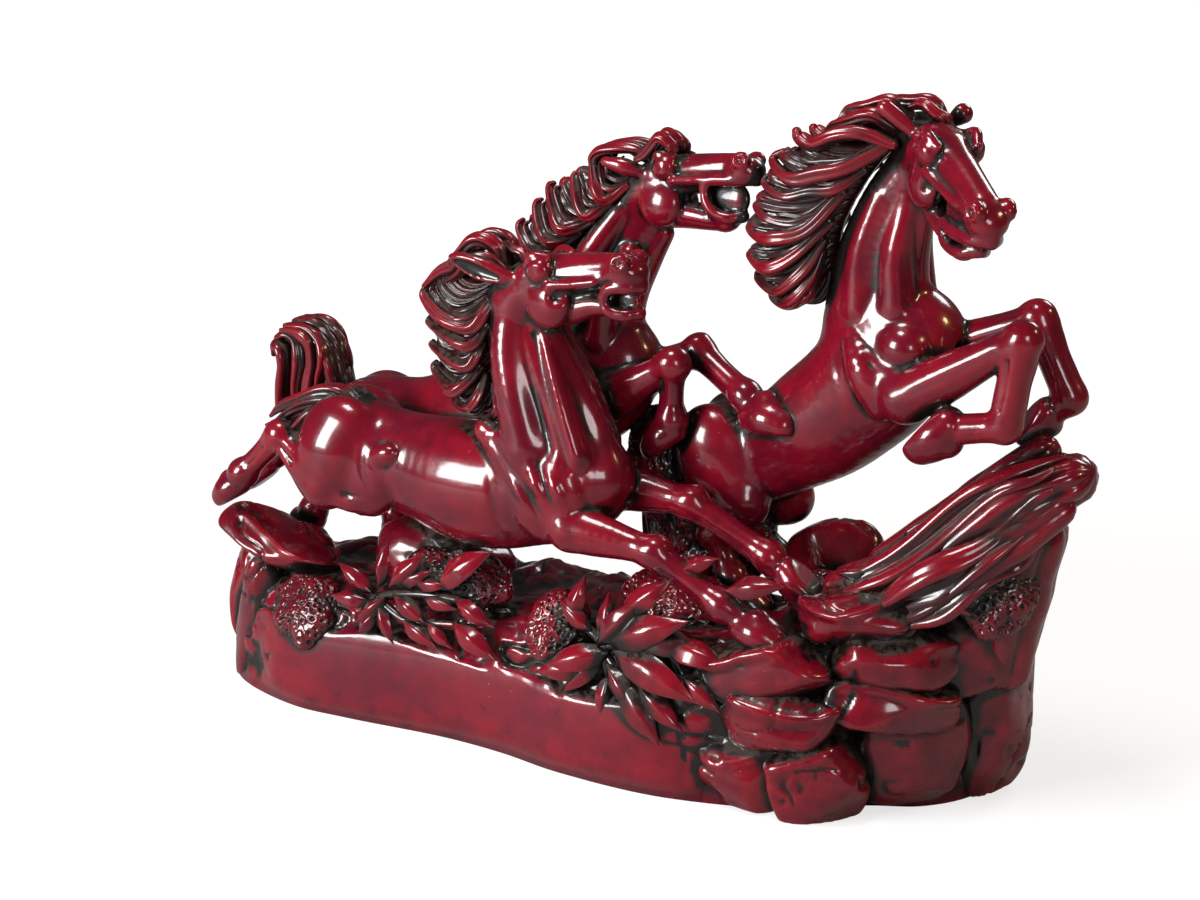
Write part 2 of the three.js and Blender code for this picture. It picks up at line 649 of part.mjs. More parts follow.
// Cushions of beaded moss.
const mosses = {
  left_moss: { at: [-100, -32, 34], half: [13, 12], facing: [-0.1, -0.8, 0.6] },
  belly_moss: { at: [-42, -22, 54], half: [20, 9], facing: [0.1, -0.7, 0.7] },
  front_moss: { at: [1, -30, 47], half: [10, 12], facing: [0, -0.7, 0.7] },
  middle_moss: { at: [32, -2, 53], half: [20, 11], facing: [0.1, -0.4, 0.9] },
  right_moss: { at: [84, 8, 60], half: [18, 11], facing: [0, -0.3, 0.95] },
  crag_moss: { at: [141, 1, 76], half: [14, 13], facing: [0.4, -0.8, 0.4] },
};

// The ground, from its left end to its right end.
const groundSections = [
  [-148, -10, 30, 28],
  [-132, -28, 40, 39],
  [-104, -38, 44, 43],
  [-79, -38, 46, 45],
  [-43, -35, 47, 46],
  [-18, -36, 47, 47],
  [8, -40, 47, 48],
  [42, -40, 47, 51],
  [74, -32, 46, 54],
  [92, -23, 45, 57],
  [106, -12, 44, 58],
  [121, -4, 42, 58],
  [131, 8, 40, 54],
  [136, 24, 36, 36],
];

// Every piece, from the ones that are left whole to the ones that are cut to seat against them.
const horses = [nearHorse, leapingHorse, farHorse];
const pieces = [
  ["ground", (grow) => ground(groundSections, grow), "rock"],
  ...horses.map((h) => [`${h.name}_torso`, (grow) => torso(h, grow), "hide"]),
  ["thicket_rock", (grow) => boulder(thicketRock, grow), "rock"],
  ...horses.map((h) => [`${h.name}_neck`, (grow) => neck(h, grow), "hide"]),
  ...horses.map((h) => [`${h.name}_head`, (grow) => head(h, grow), "hide"]),
  ...horses.flatMap((h) => ["near", "far"].flatMap((place) => [
    [`${h.name}_${place}_foreleg`, (grow) => foreleg(h.forelegs[place], grow), "hide"],
    [`${h.name}_${place}_hindleg`, (grow) => hindleg(h.hindlegs[place], grow), "hide"],
  ])),
  ...horses.map((h) => [`${h.name}_mane`, (grow) => mane(h, grow), "hair"]),
  ...horses.map((h) => [`${h.name}_tail`, (grow) => tail(h, grow), "hair"]),
  ...Object.entries(sprays).map(([name, s]) => [name, (grow) => spray(s, grow), "leaf"]),
  ["crag", (grow) => tongues(cragTongues, grow), "rock"],
  ...Object.entries(rocks).map(([name, r]) => [name, (grow) => boulder(r, grow), "rock"]),
  ...Object.entries(mosses).map(([name, m]) => [name, (grow) => moss(m, grow), "moss"]),
];

const colours = { hide: 0x8c0f22, hair: 0x6e0c1c, leaf: 0x7d0e20, rock: 0x6a0d1d, moss: 0x4a1016 };

// Everything below the surface that the sculpture stands on.
const floorDepth = 80;
const floorSide = 600;
const floorSlab = new THREE.BoxGeometry(floorSide, floorSide, floorDepth);
floorSlab.translate(0, 0, -floorDepth / 2);
const floor = fromGeometry(floorSlab);

const overlaps = (a, b) => [0, 1, 2].every((i) => a.min[i] < b.max[i] && b.min[i] < a.max[i]);

const sculpture = new THREE.Group();
const cutters = [];
for (const [name, build, kind] of pieces) {
  let body = build(0);
  if (body.boundingBox().min[2] < 0) body = body.subtract(floor);
  const box = body.boundingBox();
  for (const cutter of cutters) {
    if (overlaps(box, cutter.box)) body = body.subtract(cutter.solid);
  }
  const grown = build(bondGap);
  cutters.push({ solid: grown, box: grown.boundingBox() });

  // A cut can leave crumbs beside the piece, so only the largest body is kept.
  const main = body.decompose().sort((a, b) => b.volume() - a.volume())[0];
  const mesh = main.getMesh();
  const geometry = new THREE.BufferGeometry();
  geometry.setAttribute("position", new THREE.BufferAttribute(mesh.vertProperties, 3));
  geometry.setIndex(new THREE.BufferAttribute(mesh.triVerts, 1));
  geometry.computeVertexNormals();
  const material = new THREE.MeshStandardMaterial({ color: colours[kind], roughness: 0.25, metalness: 0 });
  const piece = new THREE.Mesh(geometry, material);
  piece.name = name;
  sculpture.add(piece);
}

// The origin goes to the middle of the outline seen from above.
const middle = new THREE.Box3().setFromObject(sculpture).getCenter(new THREE.Vector3());
sculpture.position.set(-middle.x, -middle.y, 0);

export default sculpture;
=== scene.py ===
"""Three galloping horses on a rock, a table sculpture in dark red lacquered resin.

Lengths here are millimetres on the sculptor's own bench, and mesh points become metres in the part's frame.
The horses are modelled as clay: a distance field on a grid, whose forms melt into one another, and whose
surface is then cast. Hair, leaves, rocks and moss are surfaces of two parameters.
"""

import bpy
import numpy as np
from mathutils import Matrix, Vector


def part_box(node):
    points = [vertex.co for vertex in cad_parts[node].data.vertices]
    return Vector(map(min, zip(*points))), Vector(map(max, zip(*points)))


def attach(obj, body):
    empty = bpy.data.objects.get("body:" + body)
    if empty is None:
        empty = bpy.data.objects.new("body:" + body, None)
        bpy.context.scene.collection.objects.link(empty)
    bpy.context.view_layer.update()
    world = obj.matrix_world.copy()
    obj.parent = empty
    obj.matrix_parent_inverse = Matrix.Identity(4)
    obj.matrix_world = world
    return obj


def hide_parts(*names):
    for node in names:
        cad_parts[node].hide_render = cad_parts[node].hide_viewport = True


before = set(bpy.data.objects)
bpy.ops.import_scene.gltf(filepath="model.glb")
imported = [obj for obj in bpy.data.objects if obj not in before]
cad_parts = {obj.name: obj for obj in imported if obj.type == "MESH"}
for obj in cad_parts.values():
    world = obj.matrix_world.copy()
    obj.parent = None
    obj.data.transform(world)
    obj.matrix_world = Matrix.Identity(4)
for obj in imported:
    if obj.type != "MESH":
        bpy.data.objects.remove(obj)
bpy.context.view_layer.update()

# The bench's origin lies off the part's: these are the ground's left end and its back on the bench.
GROUND_LEFT, GROUND_BACK = -148, 47.57
ground_low, ground_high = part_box("ground")
BENCH = np.array([ground_low.x * 1000 - GROUND_LEFT, ground_high.y * 1000 - GROUND_BACK, 0.0])

SIDE = np.array([0.0, 1.0, 0.0])
UP = np.array([0.0, 0.0, 1.0])

pieces = []  # every finished surface, in the order it was made


# Curves and noise

def unit(v):
    """The vectors of the last axis, scaled to a length of one."""
    v = np.asarray(v, float)
    return v / np.linalg.norm(v, axis=-1, keepdims=True)


def square_to(axis, v):
    """The unit vector square to a unit axis that leans most towards v."""
    v = np.asarray(v, float)
    return unit(v - axis * float(v @ axis))


def spline(points, count):
    """A smooth curve through points: each span is the cubic of its four nearest points. Any columns
    ride along."""
    p = np.asarray(points, float)
    p = np.vstack([2 * p[0] - p[1], p, 2 * p[-1] - p[-2]])
    t = np.linspace(0, len(p) - 3, count)
    i = np.minimum(t.astype(int), len(p) - 4)
    u = (t - i)[:, None]
    a, b, c, d = p[i], p[i + 1], p[i + 2], p[i + 3]
    return 0.5 * (2 * b + (c - a) * u + (2 * a - 5 * b + 4 * c - d) * u**2 + (3 * b - a - 3 * c + d) * u**3)


LATTICE_STEPS = 32
LATTICE = np.random.default_rng(5).random((LATTICE_STEPS,) * 3)


def noise(p, size, seed=0):
    """Smooth noise from -1 to 1: random values on a lattice of the given size, eased between its
    corners."""
    q = np.asarray(p, float) / size + 7.31 * seed
    i = np.floor(q).astype(int)
    f = q - i
    f = f * f * (3 - 2 * f)
    total = 0
    for corner in np.ndindex(2, 2, 2):
        share = np.prod([f[..., k] if corner[k] else 1 - f[..., k] for k in range(3)], axis=0)
        x, y, z = [(i[..., k] + corner[k]) % LATTICE_STEPS for k in range(3)]
        total = total + share * LATTICE[x, y, z]
    return total * 2 - 1


# Clay

def melt(a, b, k):
    """Smooth union of two fields: the smaller one, less h²k/4, where h falls from 1 to 0 as they differ
    by k."""
    h = np.maximum(k - np.abs(a - b), 0) / k
    return np.minimum(a, b) - h * h * k / 4


class Clay:
    """A block of clay: a distance field on a regular grid, negative inside the form."""

    def __init__(self, low, high, cell):
        self.low = np.array(low, float)
        self.cell = cell
        counts = np.ceil((np.array(high) - self.low) / cell).astype(int) + 1
        self.axes = [(self.low[i] + cell * np.arange(counts[i])).astype(np.float32) for i in range(3)]
        self.field = np.full(counts, 60, np.float32)

    def window(self, low, high):
        """The part of the grid between two corners, with its coordinates."""
        cut = []
        for i in range(3):
            start = max(0, int((low[i] - self.low[i]) / self.cell))
            stop = min(len(self.axes[i]), int((high[i] - self.low[i]) / self.cell) + 2)
            cut.append(slice(start, max(start + 1, stop)))
        x, y, z = (axis[c] for axis, c in zip(self.axes, cut))
        return tuple(cut), x[:, None, None], y[None, :, None], z[None, None, :]

    def limb(self, stations, blend=3.0, flat=1.0, side=SIDE, carve=False, steps=4, sole=None):
        """A round bar along a smooth path of (x, y, z, radius), flattened along side.

        A span's field is the distance to its axis less its radius. Added, it melts in. Carved, it is cut
        away. A sole is (point, direction): what lies past that point is cut off flat.
        """
        line = np.array(stations * 2)
        if len(stations) > 1:
            line = spline(stations, (len(stations) - 1) * steps + 1)
        line[:, 3] = np.maximum(line[:, 3], 0.3)
        points = line[:, :3].astype(np.float32)
        radii = line[:, 3].astype(np.float32)
        reach = radii.max() * max(1, flat) + blend + 2 * self.cell
        cut, x, y, z = self.window(points.min(0) - reach, points.max(0) + reach)
        s = unit(side).astype(np.float32)
        best = None
        for a, b, ra, rb in zip(points[:-1], points[1:], radii[:-1], radii[1:]):
            ab = b - a
            t = ((x - a[0]) * ab[0] + (y - a[1]) * ab[1] + (z - a[2]) * ab[2]) / max(float(ab @ ab), 1e-9)
            t = np.clip(t, 0, 1)
            qx, qy, qz = x - a[0] - t * ab[0], y - a[1] - t * ab[1], z - a[2] - t * ab[2]
            r = ra + (rb - ra) * t
            square = qx * qx + qy * qy + qz * qz
            if flat == 1:
                d = np.sqrt(square) - r
            else:
                across = qx * s[0] + qy * s[1] + qz * s[2]
                rest = np.maximum(square - across * across, 0)
                k0 = np.sqrt(rest / r**2 + across**2 / (r * flat) ** 2)
                k1 = np.sqrt(rest / r**4 + across**2 / (r * flat) ** 4)
                d = k0 * (k0 - 1) / np.maximum(k1, 1e-6)
            best = d if best is None else np.minimum(best, d)
        if sole is not None:
            place, down = np.array(sole[0]), unit(sole[1])
            past = (x - place[0]) * down[0] + (y - place[1]) * down[1] + (z - place[2]) * down[2]
            best = -melt(-best, -past, 1.0)
        self.merge(cut, best, blend, carve)

    def lump(self, at, half, blend=3.0, forward=(1, 0, 0), side=SIDE, carve=False):
        """An ellipsoid with half sizes along forward, side and the direction square to both."""
        f = unit(forward)
        s = square_to(f, side)
        u = np.cross(f, s)
        reach = max(half) + blend + 2 * self.cell
        cut, x, y, z = self.window(np.array(at) - reach, np.array(at) + reach)
        k0 = k1 = 0
        for axis, h in zip((f, s, u), half):
            w = (x - at[0]) * axis[0] + (y - at[1]) * axis[1] + (z - at[2]) * axis[2]
            k0 = k0 + (w / h) ** 2
            k1 = k1 + (w / h**2) ** 2
        k0, k1 = np.sqrt(k0), np.sqrt(k1)
        self.merge(cut, k0 * (k0 - 1) / np.maximum(k1, 1e-6), blend, carve)

    def merge(self, cut, d, blend, carve):
        """Melts a form's field into a part of the grid, or cuts the form out of it."""
        old = self.field[cut]
        self.field[cut] = -melt(-old, d, blend) if carve else melt(old, d, blend)

    def cast(self):
        """The surface where the field is nought, as (points, faces).

        Each cell that it crosses has one point, the mean of the crossings of the cell's edges, and each
        crossed edge of the grid has one four-sided face round it. The points are then drawn onto the
        field's nought.
        """
        f = self.field
        for axis in range(3):
            np.moveaxis(f, axis, 0)[[0, -1]] = 1.0
        inside = f < 0
        quads, spots = [], []
        for axis in range(3):
            low, high = [slice(None)] * 3, [slice(None)] * 3
            low[axis], high[axis] = slice(0, -1), slice(1, None)
            low, high = tuple(low), tuple(high)
            crossed = inside[low] != inside[high]
            ijk = np.argwhere(crossed)
            a, b = f[low][crossed], f[high][crossed]
            spot = ijk.astype(float)
            spot[:, axis] += a / (a - b)
            one, two = (axis + 1) % 3, (axis + 2) % 3
            ring = []
            for back_one, back_two in ((0, 0), (1, 0), (1, 1), (0, 1)):
                cell = ijk.copy()
                cell[:, one] -= back_one
                cell[:, two] -= back_two
                ring.append(np.ravel_multi_index(cell.T, f.shape))
            quad = np.stack(ring, 1)
            quads.append(np.where((a < 0)[:, None], quad, quad[:, ::-1]))
            spots.append(spot)
        quads, spots = np.concatenate(quads), np.concatenate(spots)
        _, index = np.unique(quads, return_inverse=True)
        index = index.ravel()
        weight = np.bincount(index)
        points = np.stack([np.bincount(index, np.repeat(spots[:, i], 4)) for i in range(3)],
                          1) / weight[:, None]
        slope = np.gradient(f)
        for _ in range(2):
            value = sample(f, points)
            steep = np.stack([sample(g, points) for g in slope], 1)
            step = value[:, None] * steep / np.maximum((steep**2).sum(1, keepdims=True), 0.05)
            points = points - np.clip(step, -0.5, 0.5)
        return self.low + self.cell * points, index.reshape(-1, 4)


def sample(field, points):
    """The value of a grid at points in grid steps, weighted between the eight corners."""
    top = np.array(field.shape) - 1.001
    p = np.clip(points, 0, top)
    i = p.astype(int)
    w = p - i
    total = 0
    for corner in np.ndindex(2, 2, 2):
        share = np.prod([w[:, k] if corner[k] else 1 - w[:, k] for k in range(3)], axis=0)
        total = total + share * field[i[:, 0] + corner[0], i[:, 1] + corner[1], i[:, 2] + corner[2]]
    return total


# Surfaces of two parameters

def skin(rings):
    """Rings of equal count joined by faces, closed at each end by a fan to the ring's middle, with
    faces turned out."""
    rings = np.asarray(rings)
    rows, sides = rings.shape[:2]
    points = np.concatenate([rings.reshape(-1, 3), rings[:1].mean(1), rings[-1:].mean(1)])
    i, j = np.meshgrid(np.arange(rows - 1), np.arange(sides), indexing="ij")
    k = (j + 1) % sides
    quads = np.stack([i * sides + j, i * sides + k, (i + 1) * sides + k, (i + 1) * sides + j],
                     -1).reshape(-1, 4)
    a, b = np.arange(sides), (np.arange(sides) + 1) % sides
    first, last, end = rows * sides, rows * sides + 1, (rows - 1) * sides
    fans = np.concatenate([np.stack([b, a, a * 0 + first, a * 0 + first], 1),
                           np.stack([end + a, end + b, a * 0 + last, a * 0 + last], 1)])
    faces = np.concatenate([quads, fans])
    a, b, c, d = (points[faces[:, k]] - points.mean(0) for k in range(4))
    volume = (a * np.cross(b, c)).sum() + (a * np.cross(c, d)).sum()
    if volume < 0:
        faces = np.concatenate([quads[:, ::-1], fans[:, [1, 0, 2, 3]]])
    return points, faces


def join(parts):
    """Several surfaces as one list of points and faces."""
    start = np.cumsum([0] + [len(p) for p, _ in parts[:-1]])
    return np.concatenate([p for p, _ in parts]), np.concatenate([f + s for (_, f), s in zip(parts, start)])


def sweep(stations, section, count=30, side=SIDE, twist=0.0, dome=0.8):
    """A section carried along a path of (x, y, z, width, depth).

    point(t, a) = path(t) + width(t) section_x(a) across(t) + depth(t) section_y(a) deep(t). At each end
    the sizes close along a quarter circle, over a length of dome times the size there.
    """
    line = spline(stations, count)
    path, width, depth = line[:, :3], line[:, 3], line[:, 4]
    tangent = unit(np.gradient(path, axis=0))
    across = unit(side - tangent * (tangent @ side)[:, None])
    deep = np.cross(tangent, across)
    turn = twist * np.linspace(0, 1, count)[:, None]
    across, deep = across * np.cos(turn) + deep * np.sin(turn), deep * np.cos(turn) - across * np.sin(turn)
    quarter = np.linspace(0.08, 1, 5)[:-1] * np.pi / 2

    def cap(end, way):
        """The rings beyond one end, from the tip inwards."""
        length = min(width[end], depth[end]) * dome
        return [(path[end] + way * tangent[end] * (length * reach), width[end] * share, depth[end] * share,
                 across[end], deep[end]) for reach, share in zip(np.cos(quarter), np.sin(quarter))]

    rings = cap(0, -1) + list(zip(path, width, depth, across, deep)) + cap(-1, 1)[::-1]
    middle, width, depth, across, deep = (np.array(column)[:, None] for column in zip(*rings))
    x, y = (part[None, :, None] for part in section)
    return skin(middle + across * width[..., None] * x + deep * depth[..., None] * y)


def round_section(sides):
    """A circle's points, as its x and its y."""
    a = 2 * np.pi * np.arange(sides) / sides
    return np.cos(a), np.sin(a)


def combed_section(sides, strands, depth, phase=0.0):
    """A round section with strands: radius = 1 - depth (1 - |sin(strands a / 2)|), round ridges, sharp
    valleys."""
    c, s = round_section(sides)
    a = 2 * np.pi * np.arange(sides) / sides
    r = 1 - depth * (1 - np.abs(np.sin(strands * a / 2 + phase)))
    return r * c, r * s


def ball(rows, sides):
    """Directions all round, in rings from one end of the x axis to the other, without the two ends."""
    v = np.linspace(0, np.pi, rows + 2)[1:-1, None]
    u = (2 * np.pi * np.arange(sides) / sides)[None, :]
    return np.stack([np.cos(v) * np.ones_like(u), np.sin(v) * np.cos(u), np.sin(v) * np.sin(u)], -1)


def leaf_section(sides):
    """A lens whose upper side rises to a crest along its middle, as (1 - |c|)^0.75 with c across it."""
    c, s = round_section(sides)
    return c, np.where(s > 0, 1.15 * (1 - np.abs(c)) ** 0.75, 0.6 * s)


# The horses

BARREL_HALF_WIDTH, BARREL_HALF_HEIGHT = 16.5, 20
NECK_RADII = (17.5, 14.8, 11.6, 9.4)


def between(a, b, *places):
    """Stations of a limb from a to b: each place is (share of the way, radius), and perhaps a shift."""
    return [[*(a * (1 - share) + b * share + sum(shift)), radius] for share, radius, *shift in places]


def head_of(clay, poll, nose, side, size, mouth, jowl, ears):
    """A horse's head, worked out along its face, in fiftieths of its length times size.

    mouth holds rows of (x, z) in those units: the upper lip and the lower lip, both from the corner
    forward, and the jaw from its hinge to the chin, with a radius. jowl is the cheek's disc, (x, z,
    radius). An ear is its stations, the way that it faces, and whether it is hollow.
    """
    poll = np.array(poll, float)
    forward = unit(np.array(nose, float) - poll)
    s = square_to(forward, side)
    up = np.cross(forward, s)
    upper, lower, jaw = mouth

    def at(x, y, z, r=None):
        p = poll + size * (forward * x + s * y + up * z)
        return [*p] if r is None else [*p, r * size]

    def lump(place, half, blend, **options):
        clay.lump(place, [h * size for h in half], blend * size, forward=forward, side=s, **options)

    def limb(stations, blend, **options):
        clay.limb(stations, blend * size, side=s, **options)

    def lip(row, spread, radii):
        share = np.linspace(0, 1, len(row))
        wide = spread * np.cos(share * np.pi / 2) ** 0.5
        for way in (-1, 1):
            limb([at(x, way * w, z, r) for (x, z), w, r in zip(row, wide, radii)], 1.0)

    # the skull, the long bone of the nose and the muzzle
    limb([at(-3, 0, -1.5, 7.6), at(8, 0, 0, 8.2), at(19, 0, 1.8, 7), at(31, 0, 2.4, 5.6),
          at(43, 0, 1.8, 5.2)], 4)
    lump(at(11, 0, 4.6), (9.5, 8.2, 4.8), 3)
    limb([at(14, 0, 6.4, 3.3), at(28, 0, 6.2, 2.7), at(40, 0, 5.2, 2.6)], 2.0, flat=1.35)
    lump(at(44, 0, 1.2), (6.4, 6.2, 5.2), 2)
    # the lower jaw
    limb([at(x, 0, z, r) for x, z, r in jaw], 2.0)
    chin_x, chin_z, _ = jaw[-1]
    lump(at(chin_x + 1.5, 0, chin_z - 0.3), (4.2, 3.8, 3.0), 1.5)
    for way in (-1, 1):
        lump(at(jowl[0], way * 5.2, jowl[1]), (jowl[2], 4.3, jowl[2]), 1.1)
        limb([at(18, way * 7.2, 1, 2.0), at(25, way * 6, 0, 1.8), at(34, way * 4.8, 0, 1.3)], 1.2)
        limb([at(21, way * 8.2, 4.0, 1.6), at(29, way * 7.2, 3.8, 1.7), at(37, way * 6.4, 3.2, 1.4)], 1.6,
             carve=True)
        limb([at(20.5, way * 8.6, -3.2, 2.0), at(27, way * 7.6, -3.2, 2.0), at(33, way * 6.8, -3.6, 1.6)],
             1.6, carve=True)
    # the flesh between the nose and the upper lip, the open mouth, and the thick lips round it
    limb([at(x, 0, 0.5 * (1 + z), 0.5 * (1 - z)) for x, z in upper], 2.0)
    hollow = [(0.5 * (x_up + x_low), 0.5 * (z_up + z_low), max(0.5, 0.5 * (z_up - z_low) - 1.0))
              for (x_up, z_up), (x_low, z_low) in zip(upper, lower)]
    x, z, r = hollow[-1]
    limb([at(px, 0, pz, pr) for px, pz, pr in hollow + [(x + 6, z - 1, r + 0.8)]], 0.8, flat=3.2, carve=True)
    limb([at(px - 1.5, 0, pz, pr + 0.6) for px, pz, pr in hollow[:-1]], 0.5, flat=0.4)
    lip(upper, 4.9, [1.7, 2.1, 2.2, 2.3, 2.3])
    lip(lower, 4.6, [1.7, 2.0, 2.0, 2.1, 2.1])
    for way in (-1, 1):
        # nostril: a swollen rim round a hole
        lump(at(44.6, way * 4.9, 4.9), (3.7, 2.9, 3.2), 0.9)
        lump(at(45.6, way * 7.7, 5), (1.9, 2.0, 1.6), 0.5, carve=True)
        lump(at(45.4, way * 6.3, 5), (0.8, 1.0, 0.8), 0.3)
        # eye: a shallow socket, a bulge for the two lids, the slit between them and the ball inside it
        lump(at(15.4, way * 10.6, 5.2), (5.4, 2.6, 4.6), 2.0, carve=True)
        lump(at(15.2, way * 6.7, 5.6), (4.4, 3.9, 4.1), 0.8)
        lump(at(15.6, way * 10.9, 5.4), (3.4, 1.8, 1.7), 0.5, carve=True)
        lump(at(15.5, way * 7.3, 5.4), (3.0, 2.9, 2.8), 0.2)
        limb([at(9.4, way * 6.4, 7.4, 1.2), at(13.6, way * 7.6, 10.2, 1.7),
              at(18.8, way * 6.2, 9.2, 1.2)], 1.3)
    for stations, out, hollow in ears:
        clay.limb(stations, 1.0, flat=0.66 if hollow else 0.85, side=out)
        if hollow:
            inner = spline(stations, 7)[1:6]
            inner[:, :3] += unit(out) * inner[:, 3:] * 0.62
            inner[:, 3] *= np.array([0.35, 0.58, 0.62, 0.5, 0.25])
            clay.limb(inner.tolist(), 0.6, carve=True)


def hoof_of(clay, fetlock, middle, toe, size=1.0):
    """A pastern, a ring at the coronet and a rounded hoof, flat at the sole, which lies square to toe,
    away from the fetlock."""
    fetlock, middle, toe = np.array(fetlock, float), np.array(middle, float), unit(toe)
    down = square_to(toe, middle - fetlock)
    at = lambda d, h, r: [*(middle + toe * d * size + down * h * size), r * size]
    clay.limb([[*fetlock, 4.5], at(-4.5, -1.2, 4.4), at(-2.5, -0.6, 4.6)], 2.2)
    clay.limb([at(-3.8, -0.4, 5.1), at(-1.2, -2.4, 5.1)], 0.9)
    clay.limb([at(-4.6, 0.6, 5.2), at(0.5, 0.2, 6.6), at(5.2, 0.9, 5.8)], 0.6, flat=1.12,
              sole=(middle + down * 4.8 * size, down + 0.12 * toe))


def lower_leg(clay, joint, knob, fetlock, hoof, toe, behind, size=1.0, thick=1.0):
    """Cannon bone, the tendon behind it, the fetlock with its tuft, and the hoof."""
    joint, fetlock = np.array(joint, float), np.array(fetlock, float)
    behind = unit(behind)
    along = unit(fetlock - joint)
    clay.limb(between(joint, fetlock, (0, knob * 0.9), (0.2, 4.5 * thick), (0.5, 4.0 * thick),
                      (0.8, 4.1 * thick), (1, 4.7)), 2.2)
    clay.limb(between(joint, fetlock, (0, 2.2, behind * 2.6), (0.5, 1.9, behind * 3.0 * thick),
                      (1, 2.6, behind * 2.6)), 0.7)
    for way in (-1, 1):
        edge = SIDE * way * 4.1 * thick + behind * 1.8
        clay.limb(between(joint, fetlock, (0.2, 0.3, edge), (0.5, 0.6, edge), (0.75, 0.3, edge)), 2.0,
                  carve=True)
    clay.lump(fetlock, (5.2, 4.6, 4.9), 3.0, forward=along)
    clay.limb([[*(fetlock + behind * 3), 2.6], [*(fetlock + behind * 5.0 + along * 2.5), 1.3]], 2.0)
    hoof_of(clay, fetlock, hoof, toe, size)


def foreleg(clay, shoulder, elbow, knee, fetlock, hoof, toe, behind=(-0.5, 0, -1), size=1.0, thick=1.0,
            bulk=1.0):
    """Upper arm, forearm with its long muscles and grooves, knee, and what hangs below it."""
    sh, el, kn = (np.array(p, float) for p in (shoulder, elbow, knee))
    along = unit(kn - el)
    ahead = unit(np.cross(along, SIDE))
    if ahead @ np.array(behind, float) > 0:
        ahead = -ahead
    clay.limb(between(sh, el, (0, 9.0 * bulk), (0.6, 8.6 * bulk), (1, 7.8 * bulk)), 2.0, flat=0.8)
    clay.limb(between(el, kn, (0, 7.6 * bulk), (0.3, 6.9 * bulk), (0.7, 5.2 * bulk), (1, 4.8)), 1.8)
    clay.limb(between(el, kn, (0, 4.8 * bulk, along * 2 + ahead * 3.2), (0.4, 4.0 * bulk, ahead * 3.0),
                      (0.85, 2.6, ahead * 1.6)), 2.0)
    for edge in (-SIDE, SIDE):
        clay.limb(between(el, kn, (0.15, 1.6, edge * 9.0 * bulk - ahead * 0.4), (0.5, 2.3, edge * 8.2 * bulk),
                          (0.8, 1.6, edge * 7.0)), 1.4, carve=True)
    clay.lump(kn, (6.2, 4.9, 5.2), 2.6, forward=along)
    clay.lump(kn + ahead * 3.0 + along * 1.6, (3.8, 4.2, 2.6), 1.6, forward=along)
    clay.lump(kn - ahead * 2.8 - along * 1.0, (3.4, 3.4, 2.2), 1.8, forward=along)
    lower_leg(clay, knee, 5.4, fetlock, hoof, toe, behind, size, thick)


def hindleg(clay, hip, stifle, hock, fetlock, hoof, toe, behind=(-1, 0, -0.4), size=1.0):
    """Thigh, gaskin and hock, and what hangs below them."""
    hi, st, ho = (np.array(p, float) for p in (hip, stifle, hock))
    clay.limb(between(hi, st, (0, 13.5), (0.5, 13), (1, 9.6)), 3, flat=0.72)
    clay.limb(between(st, ho, (0, 8.8), (0.4, 7.2), (0.8, 5.2), (1, 4.9)), 2)
    clay.limb(between(st, ho, (0.5, 0.5, SIDE * -6.0), (0.9, 0.7, SIDE * -5.0)), 2.0, carve=True)
    clay.lump(ho, (5.6, 4.6, 5.2), 2.2)
    clay.limb([[*(ho + unit(behind) * 2.5), 3.0], [*(ho + unit(behind) * 4.8), 2.1]], 1.6)
    lower_leg(clay, hock, 5.0, fetlock, hoof, toe, behind, size)


def trunk(clay, spine, neck):
    """Barrel and neck. The spine's stations are (x, y, z, width, height), as shares of the plain barrel's."""
    stations = [[x, y, z, height * BARREL_HALF_HEIGHT] for x, y, z, _, height in spine]
    flat = np.mean([width * BARREL_HALF_WIDTH / (height * BARREL_HALF_HEIGHT) for *_, width, height in spine])
    clay.limb(stations, 3, flat=flat, steps=6)
    clay.limb([[*p, radius] for p, radius in zip(neck, NECK_RADII)], 6, flat=0.66, steps=6)


def sides_of(clay, middle):
    """For each side of the plane y = middle: its sign, and the means to add a lump, add a limb and carve a
    limb there, with each y given as the distance from that plane."""
    for way in (-1, 1):
        def placed(place):
            return [place[0], middle + way * place[1], *place[2:]]

        def lump(place, half, blend, forward=(1, 0, 0)):
            clay.lump(placed(place), half, blend, forward=forward)

        def limb(stations, blend, flat=1.0, carve=False):
            clay.limb([placed(p) for p in stations], blend, flat=flat, carve=carve)

        yield way, lump, limb, lambda stations, blend=1.0: limb(stations, blend, carve=True)


